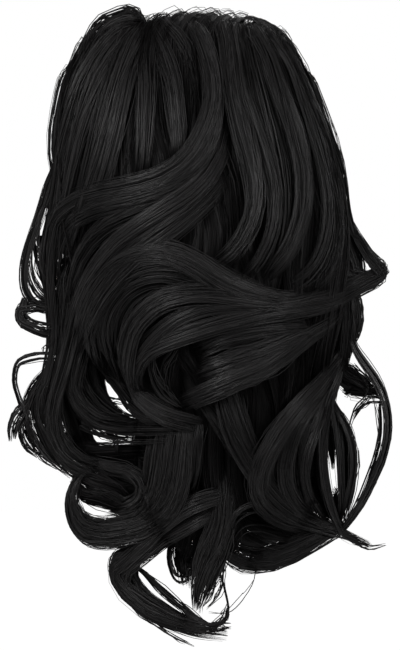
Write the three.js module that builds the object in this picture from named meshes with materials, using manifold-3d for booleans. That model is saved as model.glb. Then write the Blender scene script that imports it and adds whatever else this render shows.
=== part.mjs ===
// Ponytail hairpiece: a fall of wavy hair on a shallow cap with a comb.
// Millimetres, +Z up. The hair's outer face looks to -Y and the wearer's head is on the +Y side.
// The origin is the middle of the cap's mouth, in the plane where it sits on the head.
import * as THREE from "three";
import { mergeVertices } from "three/addons/utils/BufferGeometryUtils.js";
import Module from "manifold-3d";

const wasm = await Module();
wasm.setup();

// Overall size of the fall of hair
const FALL_LENGTH = 330;
const FALL_WIDTH = 195;
const FALL_DEPTH = 100;
const RISE_ABOVE_SEAT = 37;

// Fullest size of one lock of hair
const LOCK_WIDTH = 18;
const LOCK_THICKNESS = 10;

// Cap that the hair is sewn to, open towards the head
const CAP_WIDTH = 88;
const CAP_HEIGHT = 56;
const CAP_DEPTH = 36;
const CAP_WALL = 2;

// Comb sewn inside the upper edge of the cap
const COMB_WIDTH = 46;
const COMB_SPINE = 5;
const COMB_THICKNESS = 2;
const COMB_INSET = 3;
const COMB_TOOTH_WIDTH = 2;
const COMB_TOOTH_GAP = 2.8;
const COMB_TOOTH_LENGTH = 15;

// Clearances between neighbouring pieces
const SEAT_GAP = 0.3;
const HAIR_GAP = 0.5;

// Fineness of the facets
const CORE_SIDES = 26;
const LOCK_SIDES = 6;
const LOCK_STEP = 17;
const CAP_SIDES = 28;
const SPINE_STEPS = 10;

// The bulk of the hair, section by section. Down is a share of the length from the top, left and right
// are shares of the width from the middle, back and front are shares of the depth behind the seat.
const CORE_SECTIONS = [
  { down: 0.8, left: -14, right: 10, back: 22, front: 37 },
  { down: 3, left: -26, right: 17, back: 7, front: 48 },
  { down: 6, left: -31, right: 22, back: 3, front: 58 },
  { down: 10, left: -34, right: 26, back: 2, front: 66 },
  { down: 15, left: -36, right: 29, back: 2, front: 74 },
  { down: 21, left: -37, right: 32, back: 2, front: 80 },
  { down: 28, left: -36, right: 35, back: 2, front: 85 },
  { down: 35, left: -35, right: 37, back: 2, front: 88 },
  { down: 42, left: -34, right: 37, back: 2, front: 89 },
  { down: 49, left: -33, right: 36, back: 2, front: 89 },
  { down: 54, left: -30, right: 34, back: 3, front: 88 },
  { down: 60, left: -19, right: 32, back: 5, front: 85 },
  { down: 66, left: -16, right: 31, back: 8, front: 81 },
  { down: 72, left: -15, right: 30, back: 12, front: 76 },
  { down: 78, left: -14, right: 28, back: 18, front: 70 },
  { down: 82, left: -9, right: 23, back: 24, front: 64 },
  { down: 85.5, left: -4, right: 11, back: 32, front: 56 },
];

// Locks of hair. Girth is a share of the fullest lock. Each point of a path is across (share of the
// width, from the middle), down (share of the length, from the top) and lift (share of the depth,
// out from the surface of the bulk).
const BACK_LOCKS = [
  {
    girth: 1.1,
    path: [
      [-31, 7, 0], [-35, 16, -1], [-34, 26, -2], [-36, 36, -2], [-33, 46, -2], [-30, 54, -1],
    ],
  },
  { girth: 1.1, path: [[-26, 17, 0], [-30, 26, -2], [-27, 35, -2], [-30, 44, -2], [-25, 53, -1]] },
  {
    girth: 1.1,
    path: [
      [-17, 20.5, 0], [-20, 30, -2], [-16, 40, -2], [-20, 50, -2], [-14, 60, -1], [-13, 68, 0],
    ],
  },
  {
    girth: 1.2,
    path: [
      [-7, 21, 0], [-9, 32, -2], [-4, 44, -2], [-8, 56, -2], [-3, 68, -2], [-6, 78, 0],
    ],
  },
  {
    girth: 1.2,
    path: [
      [4, 21, 0], [1, 33, -2], [7, 46, -2], [3, 58, -2], [9, 70, -2], [6, 81, 0],
    ],
  },
  {
    girth: 1.2,
    path: [
      [13, 20, 0], [11, 31, -2], [18, 43, -2], [14, 55, -2], [19, 67, -2], [16, 78, 0],
    ],
  },
  {
    girth: 1.1,
    path: [
      [22, 16, 0], [22, 27, -2], [27, 38, -2], [23, 50, -2], [26, 62, -1], [24, 72, 0],
    ],
  },
  {
    girth: 1.1,
    path: [
      [24, 7, 0], [29, 16, -1], [31, 26, -2], [36, 37, -2], [33, 48, -2], [33, 58, -1],
      [31, 68, 0],
    ],
  },
];
const LEFT_LOCKS = [
  {
    girth: 1,
    path: [
      [-20, 42, 2], [-26.5, 47, 3], [-28, 52, 4], [-24.5, 57, 4], [-19, 61.5, 4],
      [-11, 64.5, 4],
    ],
  },
  {
    girth: 1,
    path: [
      [-16, 47, 3], [-18.5, 52, 4], [-19, 57, 5], [-16, 61, 5], [-9, 63.5, 5], [0, 64.6, 4],
      [6, 66.5, 2],
    ],
  },
  {
    girth: 1.2,
    path: [
      [-28, 46, 2], [-32, 52, 4], [-34, 58, 3], [-30.5, 62.5, 2], [-22, 65.7, 2],
      [-11, 66.6, 4], [0, 66, 4],
    ],
  },
  {
    girth: 1.1,
    path: [
      [-33, 51, 2], [-38, 57, 1], [-39.5, 63, 0], [-37.5, 69, 0], [-31.5, 73, 0], [-23, 74, 1],
      [-15, 75, 3],
    ],
  },
  {
    girth: 0.4,
    path: [
      [-36, 54.5, 1], [-42, 54.5, 0], [-47.5, 55.6, 0], [-49, 59.5, 0], [-47, 64, 0],
      [-43.5, 68.5, 0], [-37.5, 70.5, 0],
    ],
  },
  {
    girth: 1,
    path: [
      [-4, 64, 3], [-5, 70, 5], [-6.5, 76, 6], [-11, 80, 5], [-19, 82.4, 3], [-28, 82.6, 1],
      [-33.5, 80, 0], [-34, 76.5, 0], [-30, 74, 0],
    ],
  },
  { girth: 0.9, path: [[-11, 65.5, 3], [-12, 71, 4], [-14, 76, 4], [-20, 78.8, 3], [-25, 81, 2]] },
];
const RIGHT_LOCKS = [
  {
    girth: 1.1,
    path: [
      [39, 50, 1], [35, 55.5, 3], [28, 59.5, 6], [21.5, 64, 7], [16.8, 69, 7], [15.5, 74, 6],
      [19.5, 78.5, 5], [27, 81, 4], [35.5, 82, 1],
    ],
  },
  {
    girth: 0.9,
    path: [
      [39.5, 50.5, 1], [35.5, 58, 2], [32, 64, 3], [31.5, 70, 3], [32.5, 76, 2], [36, 81.8, 1],
      [41, 83.4, 0],
    ],
  },
  {
    girth: 0.4,
    path: [
      [39.5, 50, 0], [42, 55, 0], [46.5, 59.3, 0], [48.6, 64, 0], [48, 70, 0], [44.3, 76, 0],
      [39.5, 80, 0], [35.5, 82.4, 0],
    ],
  },
  { girth: 0.9, path: [[5, 59, 3], [8, 65, 4], [12.5, 71.5, 5], [17, 76, 4], [22, 79.6, 3]] },
  {
    girth: 0.9,
    path: [
      [8, 84.5, 3], [14, 86.4, 2], [21.5, 85.6, 1], [29, 83.6, 1], [36, 81.6, 1],
    ],
  },
];
const TIP_LOCKS = [
  {
    girth: 1.1,
    path: [
      [13, 77.5, 3], [5, 77, 5], [-3, 79, 6], [-11, 82.4, 5], [-18, 86, 4], [-21.8, 89.3, 3],
      [-17, 92.6, 3], [-9, 95.2, 3], [0, 96.8, 3], [6, 97.2, 3],
    ],
  },
  { girth: 1, path: [[6.5, 75, 4], [5.8, 80, 6], [3.6, 84.6, 5], [0.8, 89, 3], [-1, 94, 2]] },
  {
    girth: 0.4,
    path: [
      [-19, 87, 4], [-12, 90.6, 5], [-4, 94.2, 4], [3.5, 96.4, 3], [6.3, 95.4, 2], [6.8, 93, 2],
    ],
  },
];
const WAIST_LOCKS = [
  {
    girth: 1,
    path: [
      [26, 43, 2], [34, 38.5, 1], [40, 36, 0], [45, 40.5, 0], [47.6, 42.8, 0], [42.5, 44.4, 1],
      [33, 46.2, 5], [21, 47.6, 7], [8, 49, 8], [-4, 51.7, 8], [-14, 54.6, 7],
    ],
  },
  {
    girth: 1.1,
    path: [
      [31, 45, 4], [20, 46, 7], [8, 43.8, 7], [-4, 40.6, 7], [-15, 38.6, 7], [-25, 40.6, 6],
      [-30.5, 45.5, 6], [-32, 51, 6],
    ],
  },
  {
    girth: 1.1,
    path: [
      [39.5, 46, 1], [36, 49, 3], [27, 52.2, 6], [18, 56, 7], [8, 58.8, 7], [-2, 61.6, 6],
    ],
  },
  { girth: 1, path: [[22, 50.5, 5], [11, 54.5, 6], [2, 57.5, 6], [-5, 58.6, 5]] },
  { girth: 0.8, path: [[20, 49.5, 5], [8, 47, 6], [-3, 47, 6], [-12, 49, 5]] },
];
const CROWN_LOCKS = [
  {
    girth: 1,
    path: [
      [-12, 2.4, 2], [-22, 3.4, 2], [-30, 7.4, 3], [-34.6, 13, 3], [-36.6, 20, 4], [-38, 27, 3],
      [-42.5, 32, 1], [-45.5, 37, 0], [-45.5, 42, 0],
    ],
  },
  {
    girth: 1,
    path: [
      [-13, 3, 3], [-20, 6, 4], [-26, 11, 5], [-30, 18, 6], [-32.5, 25, 6], [-37, 32, 4],
    ],
  },
  { girth: 1, path: [[-13, 3, 4], [-18.5, 8, 6], [-22.5, 14, 7], [-25.5, 21, 7], [-29, 28.5, 7]] },
  {
    girth: 1.1,
    path: [
      [-12, 3, 4], [-15, 8.5, 6], [-15.7, 15, 7], [-17.5, 22, 6], [-21, 28.5, 6],
    ],
  },
  { girth: 1, path: [[-10, 2.8, 4], [-8.5, 9, 6], [-7, 15, 7], [-8, 22, 7], [-12, 27.5, 8]] },
  {
    girth: 1.2,
    path: [
      [-7, 2.4, 4], [-1, 7, 7], [2, 13, 9], [0.5, 20, 10], [-5, 25.6, 11], [-14, 28.8, 11],
      [-24, 30.5, 10], [-33, 32, 7], [-39.5, 33.5, 3],
    ],
  },
  {
    girth: 1.2,
    path: [
      [-3, 2.2, 4], [3.5, 8.5, 8], [5.8, 16, 10], [4, 23.5, 12], [-2.5, 29.5, 13],
      [-12, 34, 13], [-22, 38.4, 12], [-29.5, 43.6, 11], [-34, 50.5, 10],
    ],
  },
  {
    girth: 1.1,
    path: [
      [3, 2.2, 3], [7.5, 11, 6], [9.5, 20, 8], [6, 28.5, 8], [-1, 33.5, 9], [-8, 36.8, 12],
    ],
  },
  {
    girth: 1.1,
    path: [
      [8, 2.2, 4], [9.4, 11, 8], [12.6, 21.5, 11], [13.8, 30, 12], [10.5, 37, 13],
      [4, 40.8, 14],
    ],
  },
  {
    girth: 1.1,
    path: [
      [10, 2.8, 4], [14, 12.5, 8], [18, 22.5, 11], [20, 31.5, 11], [17, 38.6, 12],
      [11, 42.3, 14],
    ],
  },
  {
    girth: 1.1,
    path: [
      [12, 3, 3], [19, 10, 7], [24, 18.5, 9], [26.6, 28, 10], [24.6, 37, 11], [19, 42.2, 13],
    ],
  },
  {
    girth: 1.1,
    path: [
      [15, 3.5, 2], [23, 10.5, 5], [28.5, 19.5, 6], [32.6, 29.5, 6], [31.6, 38.5, 8],
      [25, 43.4, 12],
    ],
  },
  {
    girth: 0.8,
    path: [
      [14, 3, 1], [22, 6.5, 1], [29, 14, 2], [34, 21.5, 2], [38, 29, 2], [40.5, 34.5, 4],
    ],
  },
];
// Sewn edge that the crown's locks spring from, over the top of the cap
const CROWN_WEFT = [
  { girth: 0.9, path: [[-17, 2.6, 1], [-8, 2, 2], [2, 1.8, 2], [10, 2.2, 2], [18, 4, 1]] },
];

const HAIR = { roughness: 0.42, metalness: 0 };
const MATERIALS = {
  base_cap: { color: 0x1b1819, roughness: 0.9, metalness: 0 },
  hair_comb: { color: 0x171516, roughness: 0.35, metalness: 0 },
  under_hair: { color: 0x0b090a, ...HAIR },
  left_curls: { color: 0x131113, ...HAIR },
  right_curls: { color: 0x131113, ...HAIR },
  tip_curls: { color: 0x141214, ...HAIR },
  waist_curls: { color: 0x161416, ...HAIR },
  crown_hair: { color: 0x151315, ...HAIR },
};

const share = (part, whole) => (part / 100) * whole;
const heightAt = (down) => RISE_ABOVE_SEAT - share(down, FALL_LENGTH);

// A three.js geometry as a solid that can be joined and cut.
function solidOf(geometry) {
  const bare = geometry.index ? geometry.toNonIndexed() : geometry.clone();
  bare.deleteAttribute("normal");
  bare.deleteAttribute("uv");
  const merged = mergeVertices(bare, 1e-4);
  const mesh = new wasm.Mesh({
    numProp: 3,
    vertProperties: new Float32Array(merged.attributes.position.array),
    triVerts: new Uint32Array(merged.index.array),
  });
  return new wasm.Manifold(mesh);
}

// The largest body of a solid, without the slivers that a cut leaves.
function largestBody(solid) {
  return solid.decompose().reduce((a, b) => (b.volume() > a.volume() ? b : a));
}

function joined(solids) {
  return solids.reduce((all, solid) => all.add(solid));
}

function nodeOf(name, solid) {
  const mesh = largestBody(solid).getMesh();
  const geometry = new THREE.BufferGeometry();
  geometry.setAttribute("position", new THREE.BufferAttribute(mesh.vertProperties, 3));
  geometry.setIndex(new THREE.BufferAttribute(mesh.triVerts, 1));
  geometry.computeVertexNormals();
  const node = new THREE.Mesh(geometry, new THREE.MeshStandardMaterial(MATERIALS[name]));
  node.name = name;
  return node;
}

// A closed solid through sections. Each section has a centre, the directions and half sizes of its
// two axes, and the solid's sides are the unit circle, reshaped where a profile is given.
function loft(sections, sides, profile = (x, z) => [x, z]) {
  const geometry = new THREE.CylinderGeometry(1, 1, 1, sides, sections.length - 1);
  const position = geometry.attributes.position;
  for (let i = 0; i < position.count; i++) {
    const row = Math.round((0.5 - position.getY(i)) * (sections.length - 1));
    const section = sections[row];
    const [x, z] = profile(position.getX(i), position.getZ(i));
    const point = section.centre
      .clone()
      .addScaledVector(section.side, x * section.halfWidth)
      .addScaledVector(section.out, z * section.halfDepth);
    position.setXYZ(i, point.x, point.y, point.z);
  }
  return solidOf(geometry);
}

// The bulk's outline at a height: its middle and half sizes, between the rows of the table.
function coreAt(z) {
  const down = ((RISE_ABOVE_SEAT - z) / FALL_LENGTH) * 100;
  const last = CORE_SECTIONS.length - 1;
  const next = CORE_SECTIONS.findIndex((row) => row.down > down);
  const upper = CORE_SECTIONS[next < 0 ? last : Math.max(0, next - 1)];
  const lower = CORE_SECTIONS[next < 0 ? last : next];
  const span = lower.down - upper.down;
  const t = span > 0 ? THREE.MathUtils.clamp((down - upper.down) / span, 0, 1) : 0;
  const between = (column) => THREE.MathUtils.lerp(upper[column], lower[column], t);
  const left = share(between("left"), FALL_WIDTH);
  const right = share(between("right"), FALL_WIDTH);
  const back = -share(between("back"), FALL_DEPTH);
  const front = -share(between("front"), FALL_DEPTH);
  return {
    x: (left + right) / 2,
    y: (back + front) / 2,
    halfWidth: (right - left) / 2,
    halfDepth: (back - front) / 2,
  };
}

// The back of the bulk is flatter than its front, because it lies against the head.
const flatBack = (x, z) => [x, z < 0 ? -Math.sqrt(Math.max(0, 1 - x ** 4)) : z];

function core(grow) {
  const sections = CORE_SECTIONS.map((row, i) => {
    const z = heightAt(row.down);
    const at = coreAt(z);
    const end = grow * Math.cos((Math.PI * i) / (CORE_SECTIONS.length - 1));
    return {
      centre: new THREE.Vector3(at.x, at.y, z + end),
      side: new THREE.Vector3(1, 0, 0),
      out: new THREE.Vector3(0, -1, 0),
      halfWidth: at.halfWidth + grow,
      halfDepth: at.halfDepth + grow,
    };
  });
  return loft(sections, CORE_SIDES, flatBack);
}

// How full a lock is along its length: gathered at the root, pointed at the end.
function fullness(t) {
  return Math.min(1, 0.5 + 2 * t, 0.22 + 2 * (1 - t));
}

// One lock, swept over the front of the bulk, or over its back where facing is -1.
function lock({ girth, path }, grow, facing = 1) {
  const flat = path.map(
    ([across, down, lift]) =>
      new THREE.Vector3(share(across, FALL_WIDTH), heightAt(down), share(lift, FALL_DEPTH)),
  );
  const route = new THREE.CatmullRomCurve3(flat);
  const steps = Math.max(5, Math.round(route.getLength() / LOCK_STEP));
  const laid = route.getSpacedPoints(steps).map(({ x, y: z, z: lift }) => {
    const at = coreAt(z);
    const s = THREE.MathUtils.clamp((x - at.x) / at.halfWidth, -1, 1);
    const [, depth] = flatBack(s, facing * Math.sqrt(1 - s * s));
    const lean = THREE.MathUtils.clamp(s, -0.9, 0.9);
    const out = new THREE.Vector3(
      lean / at.halfWidth,
      (-facing * Math.sqrt(1 - lean * lean)) / at.halfDepth,
      0,
    ).normalize();
    const centre = new THREE.Vector3(x, at.y - depth * at.halfDepth - facing * lift, z);
    return { centre, out };
  });
  const sections = laid.map(({ centre, out }, i) => {
    const before = laid[Math.max(0, i - 1)].centre;
    const after = laid[Math.min(steps, i + 1)].centre;
    const along = after.clone().sub(before).normalize();
    const side = out.clone().cross(along).normalize();
    const end = i === 0 ? -grow : i === steps ? grow : 0;
    const full = girth * fullness(i / steps);
    return {
      centre: centre.clone().addScaledVector(along, end),
      side,
      out: along.clone().cross(side),
      halfWidth: (full * LOCK_WIDTH) / 2 + grow,
      halfDepth: (full * LOCK_THICKNESS) / 2 + grow,
    };
  });
  return loft(sections, LOCK_SIDES);
}

function locks(rows, grow, facing) {
  return joined(rows.map((row) => lock(row, grow, facing)));
}

// An ellipsoid about the middle of the cap's mouth.
function ellipsoid(halfWidth, halfDepth, halfHeight) {
  const ball = new THREE.SphereGeometry(1, CAP_SIDES, CAP_SIDES / 2);
  return solidOf(ball.scale(halfWidth, halfDepth, halfHeight));
}

// The cap's outer form, grown or shrunk all round.
function capForm(grow) {
  return ellipsoid(CAP_WIDTH / 2 + grow, CAP_DEPTH + grow, CAP_HEIGHT / 2 + grow);
}

function baseCap() {
  const reach = CAP_WIDTH + CAP_DEPTH;
  const headSide = solidOf(new THREE.BoxGeometry(reach, reach, reach).translate(0, reach / 2, 0));
  return capForm(0).subtract(capForm(-CAP_WALL)).subtract(headSide);
}

// The comb's upper edge follows the cap's inner wall at the comb's deeper face.
function combEdge(x, inward) {
  const halfWidth = CAP_WIDTH / 2 - CAP_WALL;
  const halfHeight = CAP_HEIGHT / 2 - CAP_WALL;
  const deep = (COMB_INSET + COMB_THICKNESS) / (CAP_DEPTH - CAP_WALL);
  const narrowed = Math.sqrt(1 - deep * deep);
  const facetLoss = Math.cos(Math.PI / CAP_SIDES) ** 2;
  const s = x / (halfWidth * narrowed * facetLoss);
  return halfHeight * narrowed * facetLoss * Math.sqrt(1 - s * s) - SEAT_GAP - inward;
}

function hairComb() {
  const pitch = COMB_TOOTH_WIDTH + COMB_TOOTH_GAP;
  const teeth = Math.floor((COMB_WIDTH - COMB_TOOTH_WIDTH) / pitch) + 1;
  const halfRow = ((teeth - 1) * pitch) / 2;
  const outline = new THREE.Shape();
  outline.moveTo(-COMB_WIDTH / 2, combEdge(COMB_WIDTH / 2, COMB_SPINE));
  for (let i = 0; i <= SPINE_STEPS; i++) {
    const x = -COMB_WIDTH / 2 + (COMB_WIDTH * i) / SPINE_STEPS;
    outline.lineTo(x, combEdge(x, 0));
  }
  outline.lineTo(COMB_WIDTH / 2, combEdge(COMB_WIDTH / 2, COMB_SPINE));
  for (let tooth = teeth - 1; tooth >= 0; tooth--) {
    const x = -halfRow + tooth * pitch;
    const root = combEdge(x, COMB_SPINE);
    outline.lineTo(x + COMB_TOOTH_WIDTH / 2, root);
    outline.lineTo(x + COMB_TOOTH_WIDTH / 3, root - COMB_TOOTH_LENGTH);
    outline.lineTo(x - COMB_TOOTH_WIDTH / 3, root - COMB_TOOTH_LENGTH);
    outline.lineTo(x - COMB_TOOTH_WIDTH / 2, root);
  }
  const plate = new THREE.ExtrudeGeometry(outline, { depth: COMB_THICKNESS, bevelEnabled: false });
  return solidOf(plate.rotateX(Math.PI / 2).translate(0, -COMB_INSET, 0));
}

// The hair is built from the inside out: each layer is cut clear of the layers under it.
const backLocks = locks(BACK_LOCKS, 0, -1);
const underHair = core(0).add(backLocks).subtract(capForm(SEAT_GAP));
const underSpace = core(HAIR_GAP).add(locks(BACK_LOCKS, HAIR_GAP, -1)).add(capForm(SEAT_GAP));
const leftCurls = locks(LEFT_LOCKS, 0).subtract(underSpace);
const leftSpace = underSpace.add(locks(LEFT_LOCKS, HAIR_GAP));
const rightCurls = locks(RIGHT_LOCKS, 0).subtract(leftSpace);
const sideSpace = leftSpace.add(locks(RIGHT_LOCKS, HAIR_GAP));
const tipCurls = locks(TIP_LOCKS, 0).subtract(sideSpace);
const lowerSpace = sideSpace.add(locks(TIP_LOCKS, HAIR_GAP));
const waistCurls = locks(WAIST_LOCKS, 0).subtract(lowerSpace);
const waistSpace = lowerSpace.add(locks(WAIST_LOCKS, HAIR_GAP));
const crownHair = locks([...CROWN_WEFT, ...CROWN_LOCKS], 0).subtract(waistSpace);

const hairpiece = new THREE.Group();
hairpiece.name = "ponytail_hairpiece";
hairpiece.add(
  nodeOf("base_cap", baseCap()),
  nodeOf("hair_comb", hairComb()),
  nodeOf("under_hair", underHair),
  nodeOf("left_curls", leftCurls),
  nodeOf("right_curls", rightCurls),
  nodeOf("tip_curls", tipCurls),
  nodeOf("waist_curls", waistCurls),
  nodeOf("crown_hair", crownHair),
);

export default hairpiece;
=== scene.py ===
"""Ponytail hairpiece: a fall of black wavy hair on a shallow oval cap with a comb.

Metres, +Z up. The hair's outer face looks to -Y and the wearer's head is on the +Y side. Hair is laid
in locks: each lock has a route over the bulk of the hair and is filled with its own strands.
"""
import math
from collections import namedtuple

import bmesh
import bpy
import numpy as np
from mathutils import Matrix, Vector


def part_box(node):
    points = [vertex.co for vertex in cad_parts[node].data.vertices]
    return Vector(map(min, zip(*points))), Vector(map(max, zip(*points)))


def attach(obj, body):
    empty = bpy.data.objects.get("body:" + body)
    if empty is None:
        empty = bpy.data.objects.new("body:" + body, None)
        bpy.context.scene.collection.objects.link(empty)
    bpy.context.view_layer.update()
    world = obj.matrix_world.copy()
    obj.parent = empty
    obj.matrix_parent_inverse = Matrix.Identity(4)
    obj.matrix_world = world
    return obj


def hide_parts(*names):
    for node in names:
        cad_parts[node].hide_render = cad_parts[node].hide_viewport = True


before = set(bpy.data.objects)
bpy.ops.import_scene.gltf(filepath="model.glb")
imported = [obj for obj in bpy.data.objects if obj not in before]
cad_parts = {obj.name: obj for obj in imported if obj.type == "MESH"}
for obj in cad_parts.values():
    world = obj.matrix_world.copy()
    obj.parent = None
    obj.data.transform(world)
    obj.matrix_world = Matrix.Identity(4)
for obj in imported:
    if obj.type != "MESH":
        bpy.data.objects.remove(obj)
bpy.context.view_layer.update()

MM = 0.001

# Overall size of the fall of hair, and the cap's outer form
FALL_LENGTH = 330 * MM
FALL_WIDTH = 195 * MM
FALL_DEPTH = 100 * MM
RISE_ABOVE_SEAT = 37 * MM
CAP_HALF_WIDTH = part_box("base_cap")[1].x
CAP_HALF_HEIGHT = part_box("base_cap")[1].z
CAP_DEPTH = -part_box("base_cap")[0].y
CAP_WALL = 2 * MM

# Strands: their radius, their sides and those of a lock's inside, how far a straight step may cut a bend,
# how far stray hairs wander, the radius that even a straight stretch is taken to bend by, the points of a
# route and the rings on it
STRAND_RADIUS = 0.16 * MM
STRAND_SIDES = 3
INSIDE_SIDES = 10
STRAND_SAG = 0.38 * MM
WISP_SAG = 0.1 * MM
ASTRAY = 1.9 * MM
WIDEST_BEND = 150 * MM
ROUTE_POINTS = 120
FEWEST_RINGS, MOST_RINGS = 6, 40

# The height map of the outer face: where it starts, its cells, the lanes that it is read along on each
# lock, the weights that soften it, and how far below the face the painted shade on hair is darkest
FACE_LEFT, FACE_WIDTH = -120 * MM, 240 * MM
FACE_FOOT, FACE_HEIGHT = -310 * MM, 370 * MM
CELL = 2 * MM
LANES = 7
SOFTEN = [(-3, 0.07), (-2, 0.13), (-1, 0.19), (0, 0.22), (1, 0.19), (2, 0.13), (3, 0.07)]
DEEP_AT = 6 * MM

# The bulk of the hair, in hundredths: down is a share of the length from the top, left and right are
# shares of the width from the middle, back and front are shares of the depth, out from the seat.
Section = namedtuple("Section", "down left right back front")
BULK = [
    Section(0.8, -14, 10, 22, 37),
    Section(3, -26, 17, 7, 48),
    Section(6, -31, 22, 3, 58),
    Section(10, -34, 26, 2, 66),
    Section(15, -36, 29, 2, 74),
    Section(21, -37, 32, 2, 80),
    Section(28, -36, 35, 2, 85),
    Section(35, -35, 37, 2, 88),
    Section(42, -34, 37, 2, 89),
    Section(49, -33, 36, 2, 89),
    Section(54, -30, 34, 3, 88),
    Section(60, -19, 32, 5, 85),
    Section(66, -16, 31, 8, 81),
    Section(72, -15, 30, 12, 76),
    Section(78, -14, 28, 18, 70),
    Section(82, -9, 23, 24, 64),
    Section(85.5, -4, 11, 32, 56),
]
DOWN = np.array([row.down for row in BULK]) / 100

# A lock's width in millimetres, its number of strands, its route, and how wide it still is at its end.
# Each point of a route is across, down and lift in hundredths: shares of the width from the middle, of
# the length from the top, and of the depth off the bulk.
Lock = namedtuple("Lock", "width strands route tip", defaults=[0.8])

# The share of its strands that a lock gets at the face and deep inside
FILL = 0.9
DEEP_FILL = 0.55

# Widths in millimetres: of a clump of strands, below which a lock is a wisp, and from which it is broad
CLUMP = 1.9
WISP = 6
BROAD = 9

# How far the start of a lock dips under its neighbours if it is no wisp, on how much of its length, past
# which tip its end dips too, and how thick locks are for their width
TUCK = 8 * MM
DIP = 0.18
FULL_TIP = 0.6
FLAT = 0.6

CROWN_LEFT = [
    Lock(3, 30, [(-16, 1.6, 1), (-19, 0.7, 1), (-23, 1.2, 1), (-27, 2.3, 1), (-29.6, 4.4, 1),
                 (-31.8, 7, 1), (-34, 10, 1), (-36, 14, 1), (-37.6, 19, 1)]),
    Lock(5, 34, [(-15.7, 2.3, 2.5), (-20, 2, 2.5), (-24.5, 3.2, 2.5), (-28, 5.7, 2.5), (-31.2, 9, 2.5),
                 (-34, 12.8, 2.5), (-36.3, 17, 2)]),
    Lock(4, 40, [(-15.6, 2, 2), (-20, 1.5, 2), (-24.5, 2.6, 2), (-28, 4.9, 2), (-31, 7.7, 2),
                 (-34, 11.2, 2), (-36.3, 15, 2), (-37.8, 20, 2), (-38.8, 25, 1), (-40.6, 30, 1)]),
    Lock(5, 34, [(-15.8, 2.7, 3), (-20, 2.8, 3), (-24.5, 4.2, 3), (-28, 6.8, 3), (-31.3, 10.4, 3),
                 (-34.2, 14.4, 3), (-36.4, 19, 3), (-38, 25, 2), (-39.6, 30, 1), (-41, 35, 0)]),
    Lock(12, 70, [(-15.5, 3.4, 4), (-21.5, 5.2, 4), (-26.5, 8.2, 4), (-30.4, 12, 5), (-33.2, 16.6, 5),
                  (-35.4, 22, 5), (-37, 28, 4), (-38.4, 34, 2), (-39.2, 40, 1), (-38.8, 46, 0)]),
    Lock(12, 70, [(-15.7, 3.6, 4), (-21, 6.9, 5), (-25.6, 11, 6), (-29, 16, 6), (-31.8, 21.4, 6),
                  (-33.8, 27, 6), (-35.6, 32, 5), (-37, 38, 3), (-37.6, 44, 1)]),
    Lock(12, 80, [(-15.7, 3.8, 4), (-19.6, 8, 6), (-22.6, 13, 7), (-25, 18.5, 7), (-27.2, 24, 7),
                  (-29.5, 29, 6), (-32, 34, 5), (-34.5, 39, 3)]),
    Lock(9, 70, [(-15.6, 3.8, -1), (-18, 8.5, 2.5), (-20, 13.5, 7), (-22, 19, 7.5), (-24, 24.5, 7),
                 (-26.6, 30, 6), (-29, 35, 4)]),
    Lock(9, 40, [(-15.4, 3.4, 1), (-16.4, 8.5, 1.5), (-17, 14, 2), (-18, 20, 2), (-20, 26, 2),
                 (-22.5, 31, 2)]),
    Lock(8, 60, [(-15, 3.2, -1), (-14.9, 8.5, 0.5), (-14.5, 13.5, 7), (-14.8, 19, 8), (-15.2, 24.6, 8),
                 (-16.5, 29, 6)]),
    Lock(8, 30, [(-14.4, 3.2, 1), (-12.6, 8, 1.5), (-11.2, 13, 2), (-10.6, 18, 2), (-11.2, 24, 2)]),
    Lock(8, 80, [(-13.6, 2.8, 0), (-10, 7.4, 3), (-7.6, 12.4, 8.5), (-6.6, 17.5, 9), (-6.4, 22.4, 9),
                 (-8.2, 26.6, 7)]),
    Lock(9, 50, [(-11.8, 2.5, 1.5), (-7, 5.8, 2), (-3.8, 10, 1.5), (-2.4, 14.5, 1.5), (-2.8, 19.6, 4),
                 (-5.2, 24.6, 6)]),
    Lock(8, 90, [(-6.4, 1.8, 4), (-2.2, 4.6, 7), (0.8, 8.4, 9), (2.4, 12.6, 10), (2, 17, 11),
                 (-0.6, 21, 11.5), (-4.2, 24.4, 12), (-9.6, 26.8, 12), (-15.6, 28.2, 11), (-22, 28.9, 10),
                 (-28.6, 29.8, 9), (-34.6, 31.2, 6), (-38.6, 33.6, 4), (-40.4, 38, 2), (-40.4, 43.5, 0.5),
                 (-39.4, 49, 0), (-39.8, 55, 0), (-42, 59.6, 0), (-43, 63.6, 0), (-41.6, 67.6, 0),
                 (-38.4, 70.8, 0), (-33.6, 73, 0)]),
    Lock(8, 80, [(-4.6, 1.8, 3), (-0.6, 5, 6), (1.8, 9.6, 8), (2.8, 14.4, 9), (2.6, 19.2, 10),
                 (0.4, 23.2, 10.5), (-4.4, 26.2, 11), (-10, 28.8, 11), (-16, 30.2, 10.5),
                 (-22.4, 31, 9.5), (-29, 32.2, 8), (-34.4, 34.4, 6), (-37.6, 38, 4), (-38.8, 43, 2),
                 (-38.2, 48.4, 1)]),
]
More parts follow.
